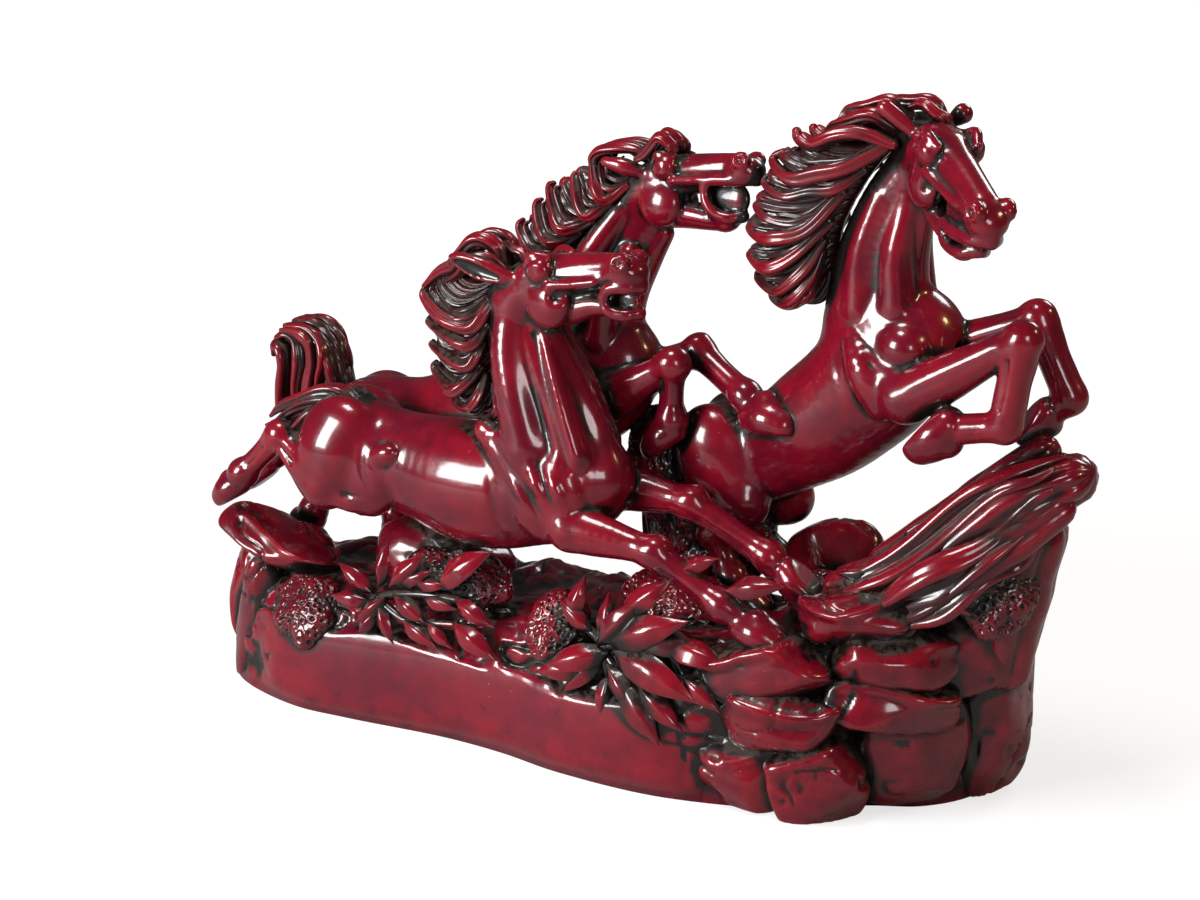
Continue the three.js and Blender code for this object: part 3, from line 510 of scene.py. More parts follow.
def near_horse():
    clay = Clay((-156, -42, 42), (100, 14, 182), 0.7)
    trunk(clay,
          [[-101, -14, 92, 0.6, 0.6], [-90, -14, 91, 1, 0.9], [-70, -14, 89, 0.95, 0.88],
           [-48, -14, 87, 1.04, 1], [-24, -14, 88, 1.02, 1.02], [-6, -14, 93, 0.98, 1.05],
           [5, -14, 95, 0.7, 0.75]],
          [[-8, -14, 106], [-14, -15, 126], [-22, -16, 145], [-17, -17, 155]])
    for _, lump, limb, carve in sides_of(clay, -14):
        lump((-89, 7.5, 93), (17, 10, 18), 2.5, (1, 0, 0.15))  # croup
        # flank of the haunch
        lump((-77, 10.5, 85), (13, 6.5, 15), 1.5, (1, 0, -0.3))
        lump((-68, 13.5, 95), (5.5, 3, 3.6), 1.4, (1, 0, 0.4))  # hip bone
        lump((-84, 12.5, 76.5), (9, 4.6, 4.6), 0.8, (1, 0, -0.15))  # stifle
        lump((-36, 3, 85), (30, 15, 19.5), 4)  # ribs
        # shoulder blade
        limb([[-29, 11, 109, 4.2], [-17, 12.5, 102, 6.4], [-7, 12.4, 95, 6.2]], 3.0, flat=0.75)
        lump((1, 10.5, 95), (13.5, 7.6, 8.6), 0.8, (0.42, 0, -0.9))  # breast
        lump((-9, 11.8, 85), (13, 6.8, 8), 0.7, (0.75, 0, -0.62))  # upper arm
        # strands of the shoulder
        for top, bottom, r in (((-20, 103), (-6, 84), 2.6), ((-12, 105), (-1, 86), 2.8),
                               ((-4, 103), (5, 88), 2.4)):
            x, z = 0.5 * (np.array(top) + bottom)
            limb([[top[0], 12.8, top[1], 0.8 * r], [x + 0.8, 16.9, z + 0.8, r],
                  [bottom[0], 15.8, bottom[1], 0.7 * r]], 1.0)
        limb([[-13, 9.5, 107, 8.4], [-18, 8.5, 122, 7.8], [-22, 6.6, 137, 6.6], [-22, 5, 149, 5]], 3.5)
        limb([[4, 9.6, 106, 5.8], [-2, 8.6, 121, 5.2], [-9, 6.3, 137, 4.4], [-13, 4.5, 146, 3.4]], 3.0)
        carve([[5, 17.6, 104, 3.0], [-1, 16.2, 117, 3.4], [-7, 13.4, 132, 3.2], [-11, 10.2, 144, 2.6]], 1.6)
        carve([[-24, 17.5, 108, 2.4], [-17, 20, 101, 3.0], [-8, 20.6, 92, 2.6], [2, 17.5, 83, 2.0]], 1.6)
        carve([[-27, 17, 104, 1.8], [-23, 19.4, 92, 2.2], [-21, 18.4, 79, 2.2], [-19, 11, 69, 1.6]], 1.4)
        carve([[-92, 12.5, 103, 0.8], [-96, 13, 92, 1.2], [-94, 12, 80, 1.0]])
        carve([[-86, 15.2, 88, 0.8], [-88.5, 16, 82, 1.3], [-84, 17, 79.8, 1.2], [-77, 17, 79.5, 0.8]])
        carve([[-76, 16, 97, 0.7], [-75.5, 17.6, 89, 1.1], [-72, 17.5, 82, 0.6]], 1.4)
        carve([[-78, 12, 71, 0.8], [-68, 12.5, 71, 1.2], [-60, 12, 72, 0.6]], 1.4)
    # windpipe
    clay.limb([[10, -14, 102, 6.0], [7, -15, 113, 5.2], [-1, -15, 128, 4.4], [-8, -16, 142, 3.6]], 3.0)
    foreleg(clay, (-2, -25, 90), (4, -26, 81), (35, -26, 78.5), (60, -26, 65), (73, -26, 58.5),
            (0.96, 0, -0.28))
    foreleg(clay, (-2, -4, 94), (9, -4, 90), (37, -5, 89.5), (66, -5, 76), (76, -5, 69), (0.8, 0, -0.6),
            size=0.9)
    hindleg(clay, (-92, -24, 90), (-95, -25, 80), (-114, -24, 94), (-131, -24, 77), (-136, -24, 71),
            (-0.75, 0, -0.6), size=0.85)
    hindleg(clay, (-92, -4, 88), (-96, -3, 78), (-120, -3, 92), (-133, -3, 78), (-139, -3, 71),
            (-0.7, 0, -0.7), size=0.85)
    head_of(clay, (-21.6, -15.4, 156.1), (28.4, -20.7, 168.0), (0.12, 0.99, -0.06), 1.035,
            ([(36.5, -4.6), (39, -2.6), (42.5, -2.4), (45.6, -2.8), (47.6, -3.2)],
             [(36.5, -5.4), (36.8, -8.4), (39.6, -10.4), (43, -11.2), (45.4, -11.2)],
             [(12, -8, 5.4), (21, -8, 4.6), (29, -7.4, 3.6), (35, -8.6, 3), (38.5, -10.4, 2.6)]),
            (15, -4.6, 8.3),
            [([[-19, -22, 161, 2.6], [-30, -24, 163.5, 4.4], [-38, -24.5, 165.5, 3.2],
               [-42, -24, 166, 1.3]], (0.1, -0.8, -0.3), True),
             ([[-20, -8, 161, 2.6], [-30, -7, 164, 4.2], [-38, -7, 166, 1.6]], (0.1, 0.8, 0), True)])
    return clay


def far_horse():
    clay = Clay((-148, -6, 34), (80, 46, 214), 0.7)
    trunk(clay,
          [[-112, 18, 88, 0.6, 0.6], [-101, 18, 88, 1, 0.9], [-80, 18, 91, 0.95, 0.88],
           [-58, 18, 97, 1.02, 1], [-34, 18, 107, 1, 1.02], [-15, 18, 117, 0.95, 1.08],
           [-4, 18, 125, 0.75, 0.85]],
          [[-15, 18, 132], [-9, 18, 150], [-1, 18, 168], [9, 18, 182]])
    for _, lump, limb, carve in sides_of(clay, 18):
        lump((-102, 8, 90), (16, 9.5, 16), 2.5)
        lump((-48, 3, 98), (30, 15, 19), 4, (1, 0, 0.25))
        limb([[-20, 9, 134, 7], [-13, 11, 124, 8], [-8, 11, 116, 7.5]], 1.6, flat=0.8)
        lump((-5, 6, 121), (9, 7, 11), 1.8, (1, 0, 0.5))
        limb([[-20, 8.5, 138, 7], [-16, 9, 151, 6.4], [-8, 7.5, 166, 5.2], [0, 5.5, 178, 4]], 1.8)
        limb([[-5, 9, 136, 5], [-2, 8.6, 150, 4.6], [5, 7, 165, 4]], 1.6)
        carve([[-12, 17, 136, 2.8], [-8, 16.4, 151, 3.2], [-1, 13.4, 166, 2.4]], 1.6)
    clay.limb([[0, 18, 134, 5.2], [2.5, 18, 148, 4.6], [8, 18, 161, 4.2], [14, 18, 172, 3.4]], 1.6)
    foreleg(clay, (-12, 7, 117), (-4, 5, 114), (24, 6, 132), (24, 6, 112.5), (21, 6, 106.5),
            (-0.72, 0, -0.69), behind=(-1, 0, -0.2), size=0.92, thick=0.95)
    foreleg(clay, (-12, 27, 118), (-4, 25, 116), (26, 20, 133), (48, 12, 123), (58, 9.5, 118),
            (1, -0.15, -0.02), size=1.14, thick=1.08)
    hindleg(clay, (-98, 7, 84), (-104, 8, 72), (-120, 10, 68), (-126, 10, 54), (-130, 10, 47),
            (-0.6, 0, -0.8))
    hindleg(clay, (-98, 29, 84), (-90, 30, 70), (-108, 31, 62), (-104, 31, 50), (-100, 31, 44),
            (0.9, 0, -0.3))
    head_of(clay, (5.8, 17.4, 186.6), (51.5, 14.1, 196.6), (0.1, 0.98, -0.16), 0.94,
            ([(29, -2.6), (32, -0.6), (37, -0.8), (43, -1.4), (47.6, -1.6)],
             [(29, -3.4), (29.4, -8), (32.4, -12), (36.6, -13.8), (40.6, -13.6)],
             [(11, -9.5, 5.6), (19, -11, 5), (26.5, -13, 4.2), (33, -15, 3.2)]), (11, -6.4, 8.4),
            [([[9, 11.5, 193, 2.2], [3, 10, 194.6, 2.9], [-3.5, 9.5, 195.6, 1.7]], (0.1, -0.8, 0.1), False),
             ([[9, 23, 194, 2.2], [2, 25, 196, 2.8], [-5, 25, 198, 1.6]], (0.1, 0.75, 0.4), False)])
    return clay


def leaping_horse():
    clay = Clay((2, -30, 38), (172, 50, 236), 0.73)
    trunk(clay,
          [[24, 27, 92, 0.65, 0.65], [36, 26, 97, 0.95, 0.92], [54, 25, 104, 0.95, 0.88],
           [72, 23, 116, 1, 0.96], [89, 20, 132, 1.04, 1.05], [102, 19, 147, 0.95, 0.95]],
          [[90, 19, 152], [91, 18, 170], [96, 17, 189], [104, 16, 204]])
    for way, lump, limb, carve in sides_of(clay, 19):
        clay.lump((35, 25 + way * 9, 100), (14, 9.5, 17), 2.2, forward=(1, 0, 0.3))
        clay.lump((74, 22.5 + way * 3, 118), (28, 15, 18), 4, forward=(1, 0, 0.75))
        lump((105.5, 11.5, 148.5), (8.6, 7.6, 8.0), 1.4, (1, 0, -0.35))  # breast
        # shoulder muscle
        limb([[88, 10.5, 149, 4.4], [94, 14, 140, 6.8], [100, 14, 131, 6.6]], 0.9)
        carve([[92, 18.5, 153, 0.6], [97, 19, 144, 1.1], [104, 17, 138, 0.8]], 1.2)
        carve([[80, 14, 146, 0.6], [87, 18.5, 134, 1.1], [95, 16, 125, 0.8]], 2.2)
        limb([[88, 8, 158, 5], [88, 7, 176, 4.6], [93, 5.5, 194, 3.8]], 1.4)
        limb([[101, 8, 161, 5.8], [100, 7.4, 178, 5.0], [103, 5.6, 194, 3.8]], 2.0)
        carve([[94.5, 17.2, 163, 2.8], [94, 15.6, 178, 3.2], [98, 12.4, 194, 2.6]], 1.8)
        clay.limb([[32, 25 + way * 12, 108, 0.8], [44, 24 + way * 14, 100, 1.1],
                   [50, 24 + way * 13, 92, 0.8]], 1.4, carve=True)
    clay.limb([[104, 18, 157, 5.4], [103.5, 17, 174, 4.6], [107, 15, 192, 3.8]], 1.6)
    clay.limb([[107, 6.5, 163, 2.2], [106, 6, 177, 2.6], [108, 6, 190, 2.0]], 1.6, carve=True)
    foreleg(clay, (99, 8, 140), (108, 3, 134), (147, 0, 159), (143, -1, 131), (121, -1, 124.5),
            (-0.7, 0, -0.7), behind=(-1, 0, -0.2), size=1.12, thick=1.32, bulk=1.08)
    foreleg(clay, (100, 28, 143), (110, 26, 143), (143, 22, 160), (155, 22, 136), (146, 21, 127),
            (-0.6, 0, -0.8), behind=(-1, 0, -0.3), size=0.92, thick=1.28)
    hindleg(clay, (36, 18, 98), (46, 15, 86), (34, 17, 72), (42, 16, 58), (47, 16, 51), (0.9, 0, -0.4))
    hindleg(clay, (38, 34, 96), (52, 36, 82), (40, 37, 72), (48, 37, 60), (53, 37, 54), (0.9, 0, -0.4))
    head_of(clay, (106.2, 15.9, 213.2), (142.9, -16.6, 193.7), (0.655, 0.755, -0.025), 1.055,
            ([(30, -8.6), (35, -8.0), (41, -6.2), (46, -4.0), (49, -2.6)],
             [(30, -11.5), (33, -13.2), (37.5, -13.0), (42, -10.8), (44.5, -8.6)],
             [(12, -9, 5.4), (18, -13.5, 4.2), (26, -14.8, 3.6), (34, -14.2, 3.3)]), (14.6, -5.4, 7.6),
            [([[107, 8, 215.5, 2.1], [101.5, 7.5, 219.5, 2.6], [96, 7.5, 223, 2.7]], (0.3, -0.85, -0.4),
              False),
             ([[110, 18, 215.5, 2.2], [113, 19.5, 218.5, 2.1], [116, 20.5, 221, 3.3]], (0.6, -0.7, 0.2),
              False)])
    return clay


# Hair

def hair_sheet(crest, tips, half_width, strands, sag, seed):
    """The body of a mane: a flat closed form from the crest to the tips.

    point(t, a) = crest(t) + reach (tips(t) - crest(t)) + sag sin(pi reach) + half width y(a), with reach
    running from 0 to 1 and back round the section, and with grooves cut across t, so that the strands run
    to the tips.
    """
    rows, sides = 190, 64
    t = np.linspace(0, 1, rows)[:, None]
    a = (2 * np.pi * np.arange(sides) / sides)[None, :]
    c, e = spline(crest, rows)[:, None], spline(tips, rows)[:, None]
    reach = 0.46 - 0.52 * np.cos(a)
    wave = 0.5 * np.sin(3.1 * reach + 2.3 * seed) + 0.35 * np.sin(11 * t + seed)
    comb = np.abs(np.sin(np.pi * (strands * t + wave)))
    fine = np.abs(np.sin(np.pi * (strands * 2.7 * t + wave * 2 + 0.3)))
    notch = 0.84 + 0.16 * np.abs(np.sin(np.pi * (strands * 0.5 * t + 0.2 * seed)))
    reach = np.where(reach > 0.3, 0.3 + (reach - 0.3) * notch, reach)
    close = np.sqrt(np.clip(1 - (2 * t - 1) ** 8, 0, 1))
    thick = half_width * np.abs(np.sin(a)) ** 0.7 * (0.62 + 0.28 * comb + 0.16 * fine) * close
    p = c + (e - c) * reach[..., None] + np.array(sag) * np.sin(np.pi * np.clip(reach, 0, 1))[..., None]
    return skin(p + SIDE * (np.sign(np.sin(a)) * thick)[..., None])


LOCK_DEPTH = 0.8  # across the width, as a share of it


def lock(points, radius, strands, twist=1.2, tip=0.3, count=40, phase=0.0, waver=0.28):
    """One lock: a combed section along a smooth path, that swells a little and then thins to its tip.
    It wavers to the sides by a share of its radius."""
    path = spline(points, 15)
    share = np.linspace(0, 1, 15)
    sway = waver * radius * np.sin(np.pi * share)[:, None]
    path = path + sway * (UP * np.sin(9 * share + 1.7 * phase)[:, None]
                          + SIDE * np.cos(7 * share + 2.3 * phase)[:, None])
    size = radius * (0.74 + 0.36 * np.sin(np.pi * share**0.8)) * (1 - (1 - tip) * share**3)
    size = size * (1 + 0.1 * np.sin(11 * share + 3.1 * phase))
    stations = np.column_stack([path, size, size * LOCK_DEPTH])
    return sweep(stations, combed_section(30, strands, 0.26, phase), count, twist=twist, dome=0.9)


def locks(rows, **shared):
    """Locks from rows of (path, radius, strands), alike in all else."""
    return [lock(*row, **shared) for row in rows]


NESTED = 3.4  # from one lock of a garland to the next inside it


def garland(root, bottom, end, radius, seed):
    """Locks that hang in a curve like a garland: root to bottom to end, each half bowed outwards by a
    seventh of its length, with the tip curled back in. Two thinner ones lie nested inside."""
    root, bottom, end = (np.array(p, float) for p in (root, bottom, end))
    inward = unit((root + end) / 2 - bottom + np.array([0, 0, 0.01]))
    level = unit(end - root)
    parts = []
    for k, share in enumerate((1, 0.62, 0.5)):
        r = radius * share
        a = root + level * 0.3 * k + inward * 0.4 * NESTED * k
        b = bottom + inward * NESTED * k * (0.9 + 0.1 * np.sin(seed + k))
        c = end - level * NESTED * 0.8 * k + inward * 0.3 * NESTED * k
        first, second = np.linalg.norm(b - a), np.linalg.norm(c - b)
        hook = c + inward * (1.6 + 0.5 * r) - level * 1.4
        path = [a, (a + b) / 2 - inward * first * 0.13, b, (b + c) / 2 - inward * second * 0.15, c, hook]
        parts.append(lock(path, r, strands=3 + (seed + k) % 3, twist=0.9 * np.sin(2.1 * seed + k),
                          phase=seed + 0.7 * k, tip=0.45))
    return parts


def garlands(rows, middle, seed):
    """Garlands on both sides of a mane's middle plane, from the near side's (root, bottom, end, radius)."""
    parts = []
    for i, (root, bottom, end, radius) in enumerate(rows):
        for way in (-1, 1):
            places = [[x, middle + way * abs(y - middle), z] for x, y, z in (root, bottom, end)]
            if way > 0:
                places[1][2] += 2.0 * np.sin(1.7 * i)
            parts += garland(*places, radius, seed + 3 * i + way)
    return parts


def near_mane():
    crest = [[-24, -16, 163], [-31, -16, 151], [-31, -15, 134], [-27, -15, 116]]
    tips = [[-46, -17, 166], [-54, -17, 153], [-53, -17, 133], [-40, -17, 113]]
    rows = [([-29, -21, 151], [-37, -25, 143], [-55, -20, 151], 3.3),
            ([-30, -21, 144], [-36, -24, 138], [-54, -19, 141], 2.9),
            ([-32, -21, 137], [-36, -24, 131], [-53, -19, 133], 2.7),
            ([-33, -21, 129], [-40, -24, 122], [-53, -19, 125], 2.7),
            ([-31, -21, 126], [-34, -24, 117], [-45, -19, 116], 2.3),
            ([-27, -22, 124], [-24, -25, 117], [-33, -20, 112], 2.0)]
    parts = [hair_sheet(crest, tips, 6.0, 13, (0, 0, -6), 1)] + garlands(rows, -15.5, 3)
    loop = [[-25, -18, 164], [-28, -19, 170], [-35, -20, 171.5], [-41, -20, 166], [-44, -20, 162],
            [-50, -20, 158], [-56, -19, 153]]
    forelock = [[-22, -20, 163], [-29, -22, 167], [-36, -22, 166], [-42, -21, 159], [-50, -20, 154]]
    tuft = [[-17, -17, 166], [-20, -16, 169], [-26, -15, 170], [-31, -15, 168]]
    second_loop = [[x + 1, -13, z + 0.5] for x, _, z in loop]
    parts += locks([(loop, 3.4, 5), (second_loop, 3.2, 4)], tip=0.6, count=60)
    return parts + [lock(forelock, 2.2, 4, tip=0.6, count=50), lock(tuft, 2.4, 4, tip=0.6)]


def far_mane():
    crest = [[4, 18, 193], [-5, 18, 178], [-15, 18, 163], [-30, 18, 148]]
    tips = [[-10, 16, 196], [-24, 16, 187], [-36, 16, 172], [-44, 16, 157]]
    rows = [([4, 11, 188], [-4, 9, 184], [-10, 13, 194], 2.7),
            ([-3, 11, 181], [-10, 9, 178], [-17, 13, 188], 2.8),
            ([-9, 11, 175], [-18, 9, 172], [-27, 13, 183], 2.9),
            ([-14, 11, 170], [-24, 9, 166], [-32, 13, 177], 2.7),
            ([-18, 11, 164], [-28, 9, 160], [-39, 13, 169], 2.7),
            ([-24, 11, 157], [-33, 9, 153], [-43, 13, 161], 2.4)]
    parts = [hair_sheet(crest, tips, 5.6, 13, (0, 0, -5), 2)] + garlands(rows, 17.5, 6)
    for y in (13, 18, 22):
        path = [[-8, y, 190], [-10, y, 195], [-6, y, 199], [0, y, 200.5], [7, y, 199.5], [12, y, 197]]
        parts.append(lock(path, 2.3, 4, tip=0.6, count=50))
    spiral = [(4.0 * (1 - a * 0.1), 2.8 - a) for a in np.linspace(0, 4.4, 12)]
    for y, lift in ((12, 0), (17, 0.5), (21, -1)):
        curl = [[17 + r * np.cos(a), y, 201.6 + lift + r * np.sin(a)] for r, a in spiral]
        parts.append(lock([[7, y, 197], [10, y, 199]] + curl, 2.3, 4, tip=0.5, count=60))
    return parts


def leaping_mane():
    crest = [[101, 15, 216], [88, 15, 202], [78, 16, 184], [75, 17, 168]]
    tips = [[72, 12, 213], [56, 11, 201], [48, 11, 177], [58, 12, 156]]
    rows = [([96, 9, 211], [74, 5, 200], [57, 11, 202], 3.5),
            ([89, 9, 203], [72, 6, 194], [54, 11, 195], 2.4),
            ([82, 9, 195], [65, 5, 179], [49, 11, 180], 3.2),
            ([79, 9, 190], [63, 6, 184], [51, 11, 187], 2.2),
            ([78, 9, 185], [63, 5, 171], [49, 11, 170], 3.0),
            ([76, 9, 179], [66, 6, 164], [52, 11, 163], 2.9),
            ([75, 10, 175], [69, 6, 160], [57, 11, 158], 2.8),
            ([74, 10, 167], [70, 7, 159], [62, 12, 156], 2.2)]
    parts = [hair_sheet(crest, tips, 6.4, 16, (0, 0, -5), 3)] + garlands(rows, 14.5, 8)
    for y, drop in ((8, 0), (20, 1)):
        path = [[99, y, 212], [90, y - 1, 214], [80, y - 1, 213.5], [72, y, 210], [67, y, 210.5],
                [66, y, 213 - drop]]
        parts.append(lock(path, 3.0, 4, tip=0.85, count=50))
    return parts + locks([
        ([[98, 11, 217], [91, 10, 219.5], [83, 11, 218], [77, 12, 214], [74, 12, 211]], 3.0, 5),
        ([[102, 15, 219], [95, 15, 223], [87, 15, 222], [81, 15, 219], [78, 14, 216]], 3.2, 5),
        ([[112, 16, 219], [108, 16, 224], [101, 16, 225], [95, 16, 223], [91, 15, 220]], 3.0, 5),
        ([[114, 15, 216], [113, 13, 221], [108, 12, 224], [102, 12, 223]], 2.6, 4),
        ([[97, 21, 217], [90, 21, 219.5], [82, 20, 217], [76, 18, 213]], 3.0, 5)], tip=0.6)


def near_tail():
    """Strands that rise from the dock, bend over and part towards their tips."""
    base = np.array([-85, -15, 104.0])
    parts = []
    tips = [(-124, -16, 97, 3.4), (-122, -20, 93, 3), (-114, -22, 91, 3), (-105, -22, 92, 2.6),
            (-120, -10, 95, 3), (-110, -9, 93, 2.8), (-127, -15, 93, 2.4)]
    for i, (*tip, r) in enumerate(tips):
        rise = 9.0 - 1.1 * i
        path = [base + (tip - base) * s + UP * rise * np.sin(np.pi * s**0.8) - SIDE * 1.5 * np.sin(np.pi * s)
                for s in (0, 0.2, 0.45, 0.7, 0.9, 1)]
        parts.append(lock(path, r, 4, twist=0.8 * np.sin(i), tip=0.4, count=50, phase=i))
    parts.append(sweep([[*base, 6, 4.5], [-95, -15, 106.5, 6, 4], [-105, -15.5, 104.5, 5.6, 3.6],
                        [-115, -16, 99, 4.5, 3]],
                       combed_section(60, 9, 0.2), 40))
    return parts


def far_tail():
    """A plume like a breaking wave: strands side by side, with their tops combed over to the left."""
    stems = [[(-142, 90), (-140.5, 99), (-139, 107), (-140, 112.5), (-143.5, 113), (-144, 110)],
             [(-136, 90), (-135, 100), (-134, 109), (-135.5, 115), (-140, 117.5), (-143.5, 116)],
             [(-130, 91), (-129.5, 101), (-127.5, 110), (-128.5, 117), (-134, 120.5), (-140.5, 119.5)],
             [(-124, 92), (-124, 102), (-121.5, 110), (-123, 117.5), (-129, 121.5), (-137, 121.5)],
             [(-118, 92), (-119, 101), (-118.5, 109), (-121, 115.5), (-126, 120), (-132, 121.5)],
             [(-115, 92), (-116, 98), (-117.5, 105), (-119.5, 111), (-123, 116.5), (-128, 119.5)]]
    parts = []
    for i, stem in enumerate(stems):
        for k, y in enumerate((13.5, 18, 22.5)):
            path = [[x + 0.8 * np.sin(i + 2 * k), y + 0.9 * np.sin(2 * i + k), z + 0.6 * k - 0.6]
                    for x, z in stem]
            parts.append(lock(path, 3.5 - 0.25 * i, 3 + k, twist=0.5 * np.sin(i + k), tip=0.6, count=56,
                              phase=i + 0.6 * k))
    return parts


def leaping_tail():
    """Strands that fall behind the leaping horse's haunch."""
    parts = []
    for i, (dx, dy) in enumerate(((0, -3.5), (2.5, 0), (-2, 3), (-3.5, -0.5), (1, 4))):
        path = [[26, 28, 98], [15 + 0.4 * dx, 30 + 0.4 * dy, 98], [7 + 0.8 * dx, 31 + 0.8 * dy, 86],
                [4 + dx, 32 + dy, 70], [5 + 1.3 * dx, 33 + 1.2 * dy, 54]]
        parts.append(lock(path, 3.6, 4, twist=0.8 * np.sin(i), tip=0.4, phase=i))
    return parts


# Rocks, leaves and moss

def cells(p, size, seed=0):
    """The distance, in steps of size, to the nearest of points scattered one to each cube of that size."""
    q = np.asarray(p, float) / size
    home = np.floor(q).astype(int)
    best = np.full(q.shape[:-1], 9.0)
    for step in np.ndindex(3, 3, 3):
        c = home + np.array(step) - 1
        x, y, z = [c[..., k] % LATTICE_STEPS for k in range(3)]
        spot = np.stack([LATTICE[i, j, (k + seed + shift) % LATTICE_STEPS]
                         for i, j, k, shift in ((x, y, z, 0), (y, z, x, 11), (z, x, y, 19))], -1)
        best = np.minimum(best, ((c + 0.15 + 0.7 * spot - q) ** 2).sum(-1))
    return np.sqrt(best)


def pitted(p, size, depth, seed=0):
    """Round pits as coral has: -depth at a pit's middle, a third of that above nought at its rim."""
    d = cells(p, size, seed)
    return depth * (0.35 * np.exp(-((d - 0.5) / 0.16) ** 2) - np.exp(-(d / 0.26) ** 2))


ROCK_POWER = 2.7  # 2 would be an ellipsoid, and much more a box
GOLDEN = np.pi * (3 - np.sqrt(5))


def rock(at, half, seed, turn=(0, 0), chips=8, rough=1.0, ridge=0.0, pits=0.0, rows=66, sides=104):
    """A worn block: point(u, v) = at + half sizes times a direction, over that direction's power norm.

    The norm makes a rounded box of the ball. Flats, spaced by the golden angle, cut it back where a
    direction lies past them, with soft edges, and noise of two sizes moves it along its normal. A ridge
    runs along its upper front edge, shallow dents and one long crack lie on it, and pits cover it where
    it is coral.
    """
    d = ball(rows, sides)
    p = d / (np.abs(d) ** ROCK_POWER).sum(-1, keepdims=True) ** (1 / ROCK_POWER)
    for i in range(chips):
        height = 1 - 2 * (i + 0.5) / chips
        reach = np.sqrt(1 - height**2)
        normal = np.array([np.cos(GOLDEN * i + seed) * reach, np.sin(GOLDEN * i + seed) * reach, height])
        over = p @ normal - 0.78
        p = p - normal * (0.5 * (over + np.sqrt(over**2 + 0.15**2)) - 0.03)[..., None] * 0.8
    x, y, z = np.moveaxis(p, -1, 0)
    lift = np.exp(-((z - 0.55 + 0.25 * np.sin(2.2 * x + seed)) / 0.14) ** 2) * (y < 0.3)
    world = p * np.array(half)
    out = unit(d / np.array(half))
    spot = world + np.array(at)
    bumps = noise(spot, 16, seed) * 0.10 * min(half) + noise(spot, 6, seed + 1) * 0.32 * rough
    bumps = bumps + ridge * lift
    crack = np.abs(noise(spot * np.array([1, 1, 1.6]), 19, seed + 3))
    bumps = bumps - 0.8 * rough * np.exp(-(crack / 0.035) ** 2) * (noise(spot, 23, seed + 4) > 0)
    dents = np.clip(noise(spot, 5, seed + 5) - 0.45, 0, 1)
    bumps = bumps - 1.6 * rough * dents
    if pits:
        bumps = bumps + pitted(spot, 2.6, pits, seed) + noise(spot, 9, seed + 6) * 1.2
    world = world + out * bumps[..., None]
    a, b = np.radians(turn)
    tip = np.array([[np.cos(b), 0, np.sin(b)], [0, 1, 0], [-np.sin(b), 0, np.cos(b)]])
    spin = np.array([[np.cos(a), -np.sin(a), 0], [np.sin(a), np.cos(a), 0], [0, 0, 1]])
    world = world @ (spin @ tip).T + np.array(at)
    world[..., 2] = np.maximum(world[..., 2], 0.05)
    return skin(world)


def flame(stations, strands, seed):
    """A tongue of rock with long grooves, which wavers as it flows to its tip."""
    place = np.arange(len(stations))[:, None]
    sway = np.hstack([0 * place, np.sin(1.7 * place + seed), 1.5 * np.sin(2.3 * place + 2 * seed),
                      1.2 * np.sin(1.9 * place + 3 * seed), 0 * place])
    stations = np.array(stations, float) + sway
    section = combed_section(96, strands, 0.14, seed)
    points, faces = sweep(stations, section, 78, twist=0.5 * (seed % 3 - 1), dome=0.9)
    bumps = noise(points, 9, seed) * 0.7 + noise(points, 3.5, seed + 1) * 0.15
    return points + unit(points - points.mean(0)) * bumps[:, None], faces


def leaf(root, tip, out, seed):
    """One leaf: a lens that arches out, then bends back at its pointed tip."""
    root, tip = np.array(root, float), np.array(tip, float)
    length = np.linalg.norm(tip - root)
    along = (tip - root) / length
    out = square_to(along, out)
    side = np.cross(out, along)
    s = np.linspace(0, 1, 8)
    width = np.clip(0.2 * length, 2.5, 5.8) * np.array([0.3, 0.72, 0.96, 1.0, 0.9, 0.68, 0.36, 0.06])
    deep = 1.7 * np.array([0.9, 1.1, 1.2, 1.2, 1.0, 0.8, 0.5, 0.2])
    rise = np.sin(np.pi * s * 0.85) * length * 0.12 + 1.0
    bend = np.sin(seed * 2.4) * 0.05 * length * s**2
    path = root + along * (s * length)[:, None] + out * rise[:, None] + side * bend[:, None]
    stations = [[*p, w, d] for p, w, d in zip(path, width, deep)]
    points, faces = sweep(stations, leaf_section(30), 30, side=side, twist=0.3 * np.sin(seed * 2.1), dome=0.5)
    return points + out * (noise(points, 4, seed) * 0.2)[:, None], faces


def leaves(rows, stalks, out, seed):
    """Leaves given by (root, tip), each facing out and a little away from its neighbours, and the
    stalks between."""
    parts = [sweep([[*p, 1.7, 1.7] for p in stalk], round_section(14), 24, side=out) for stalk in stalks]
    for i, (root, tip) in enumerate(rows):
        facing = unit(np.array(out, float)) + 0.22 * np.array([np.sin(2.4 * i), 0, np.cos(2.4 * i)])
        parts.append(leaf(root, tip, facing, seed + i))
    return parts


def cushion(at, half, facing, deep, seed):
    """A lumpy mound of coral-like moss: a flattened ball, with noise of two sizes and rimmed pits."""
    out = unit(facing)
    right = square_to(out, (1, 0, 0))
    upward = np.cross(out, right)
    d = ball(90, 176)
    mound = (np.array(at) + (d[..., 0] * deep)[..., None] * out + (d[..., 1] * half[0])[..., None] * right
             + (d[..., 2] * half[1])[..., None] * upward)
    normal = unit(d[..., :1] * out * half[0] + d[..., 1:2] * right * deep + d[..., 2:] * upward * deep)
    bumps = noise(mound, 8, seed) * 1.9 + noise(mound, 4, seed + 1) * 0.8 + pitted(mound, 2.5, 1.0, seed)
    return skin(mound + normal * bumps[..., None])


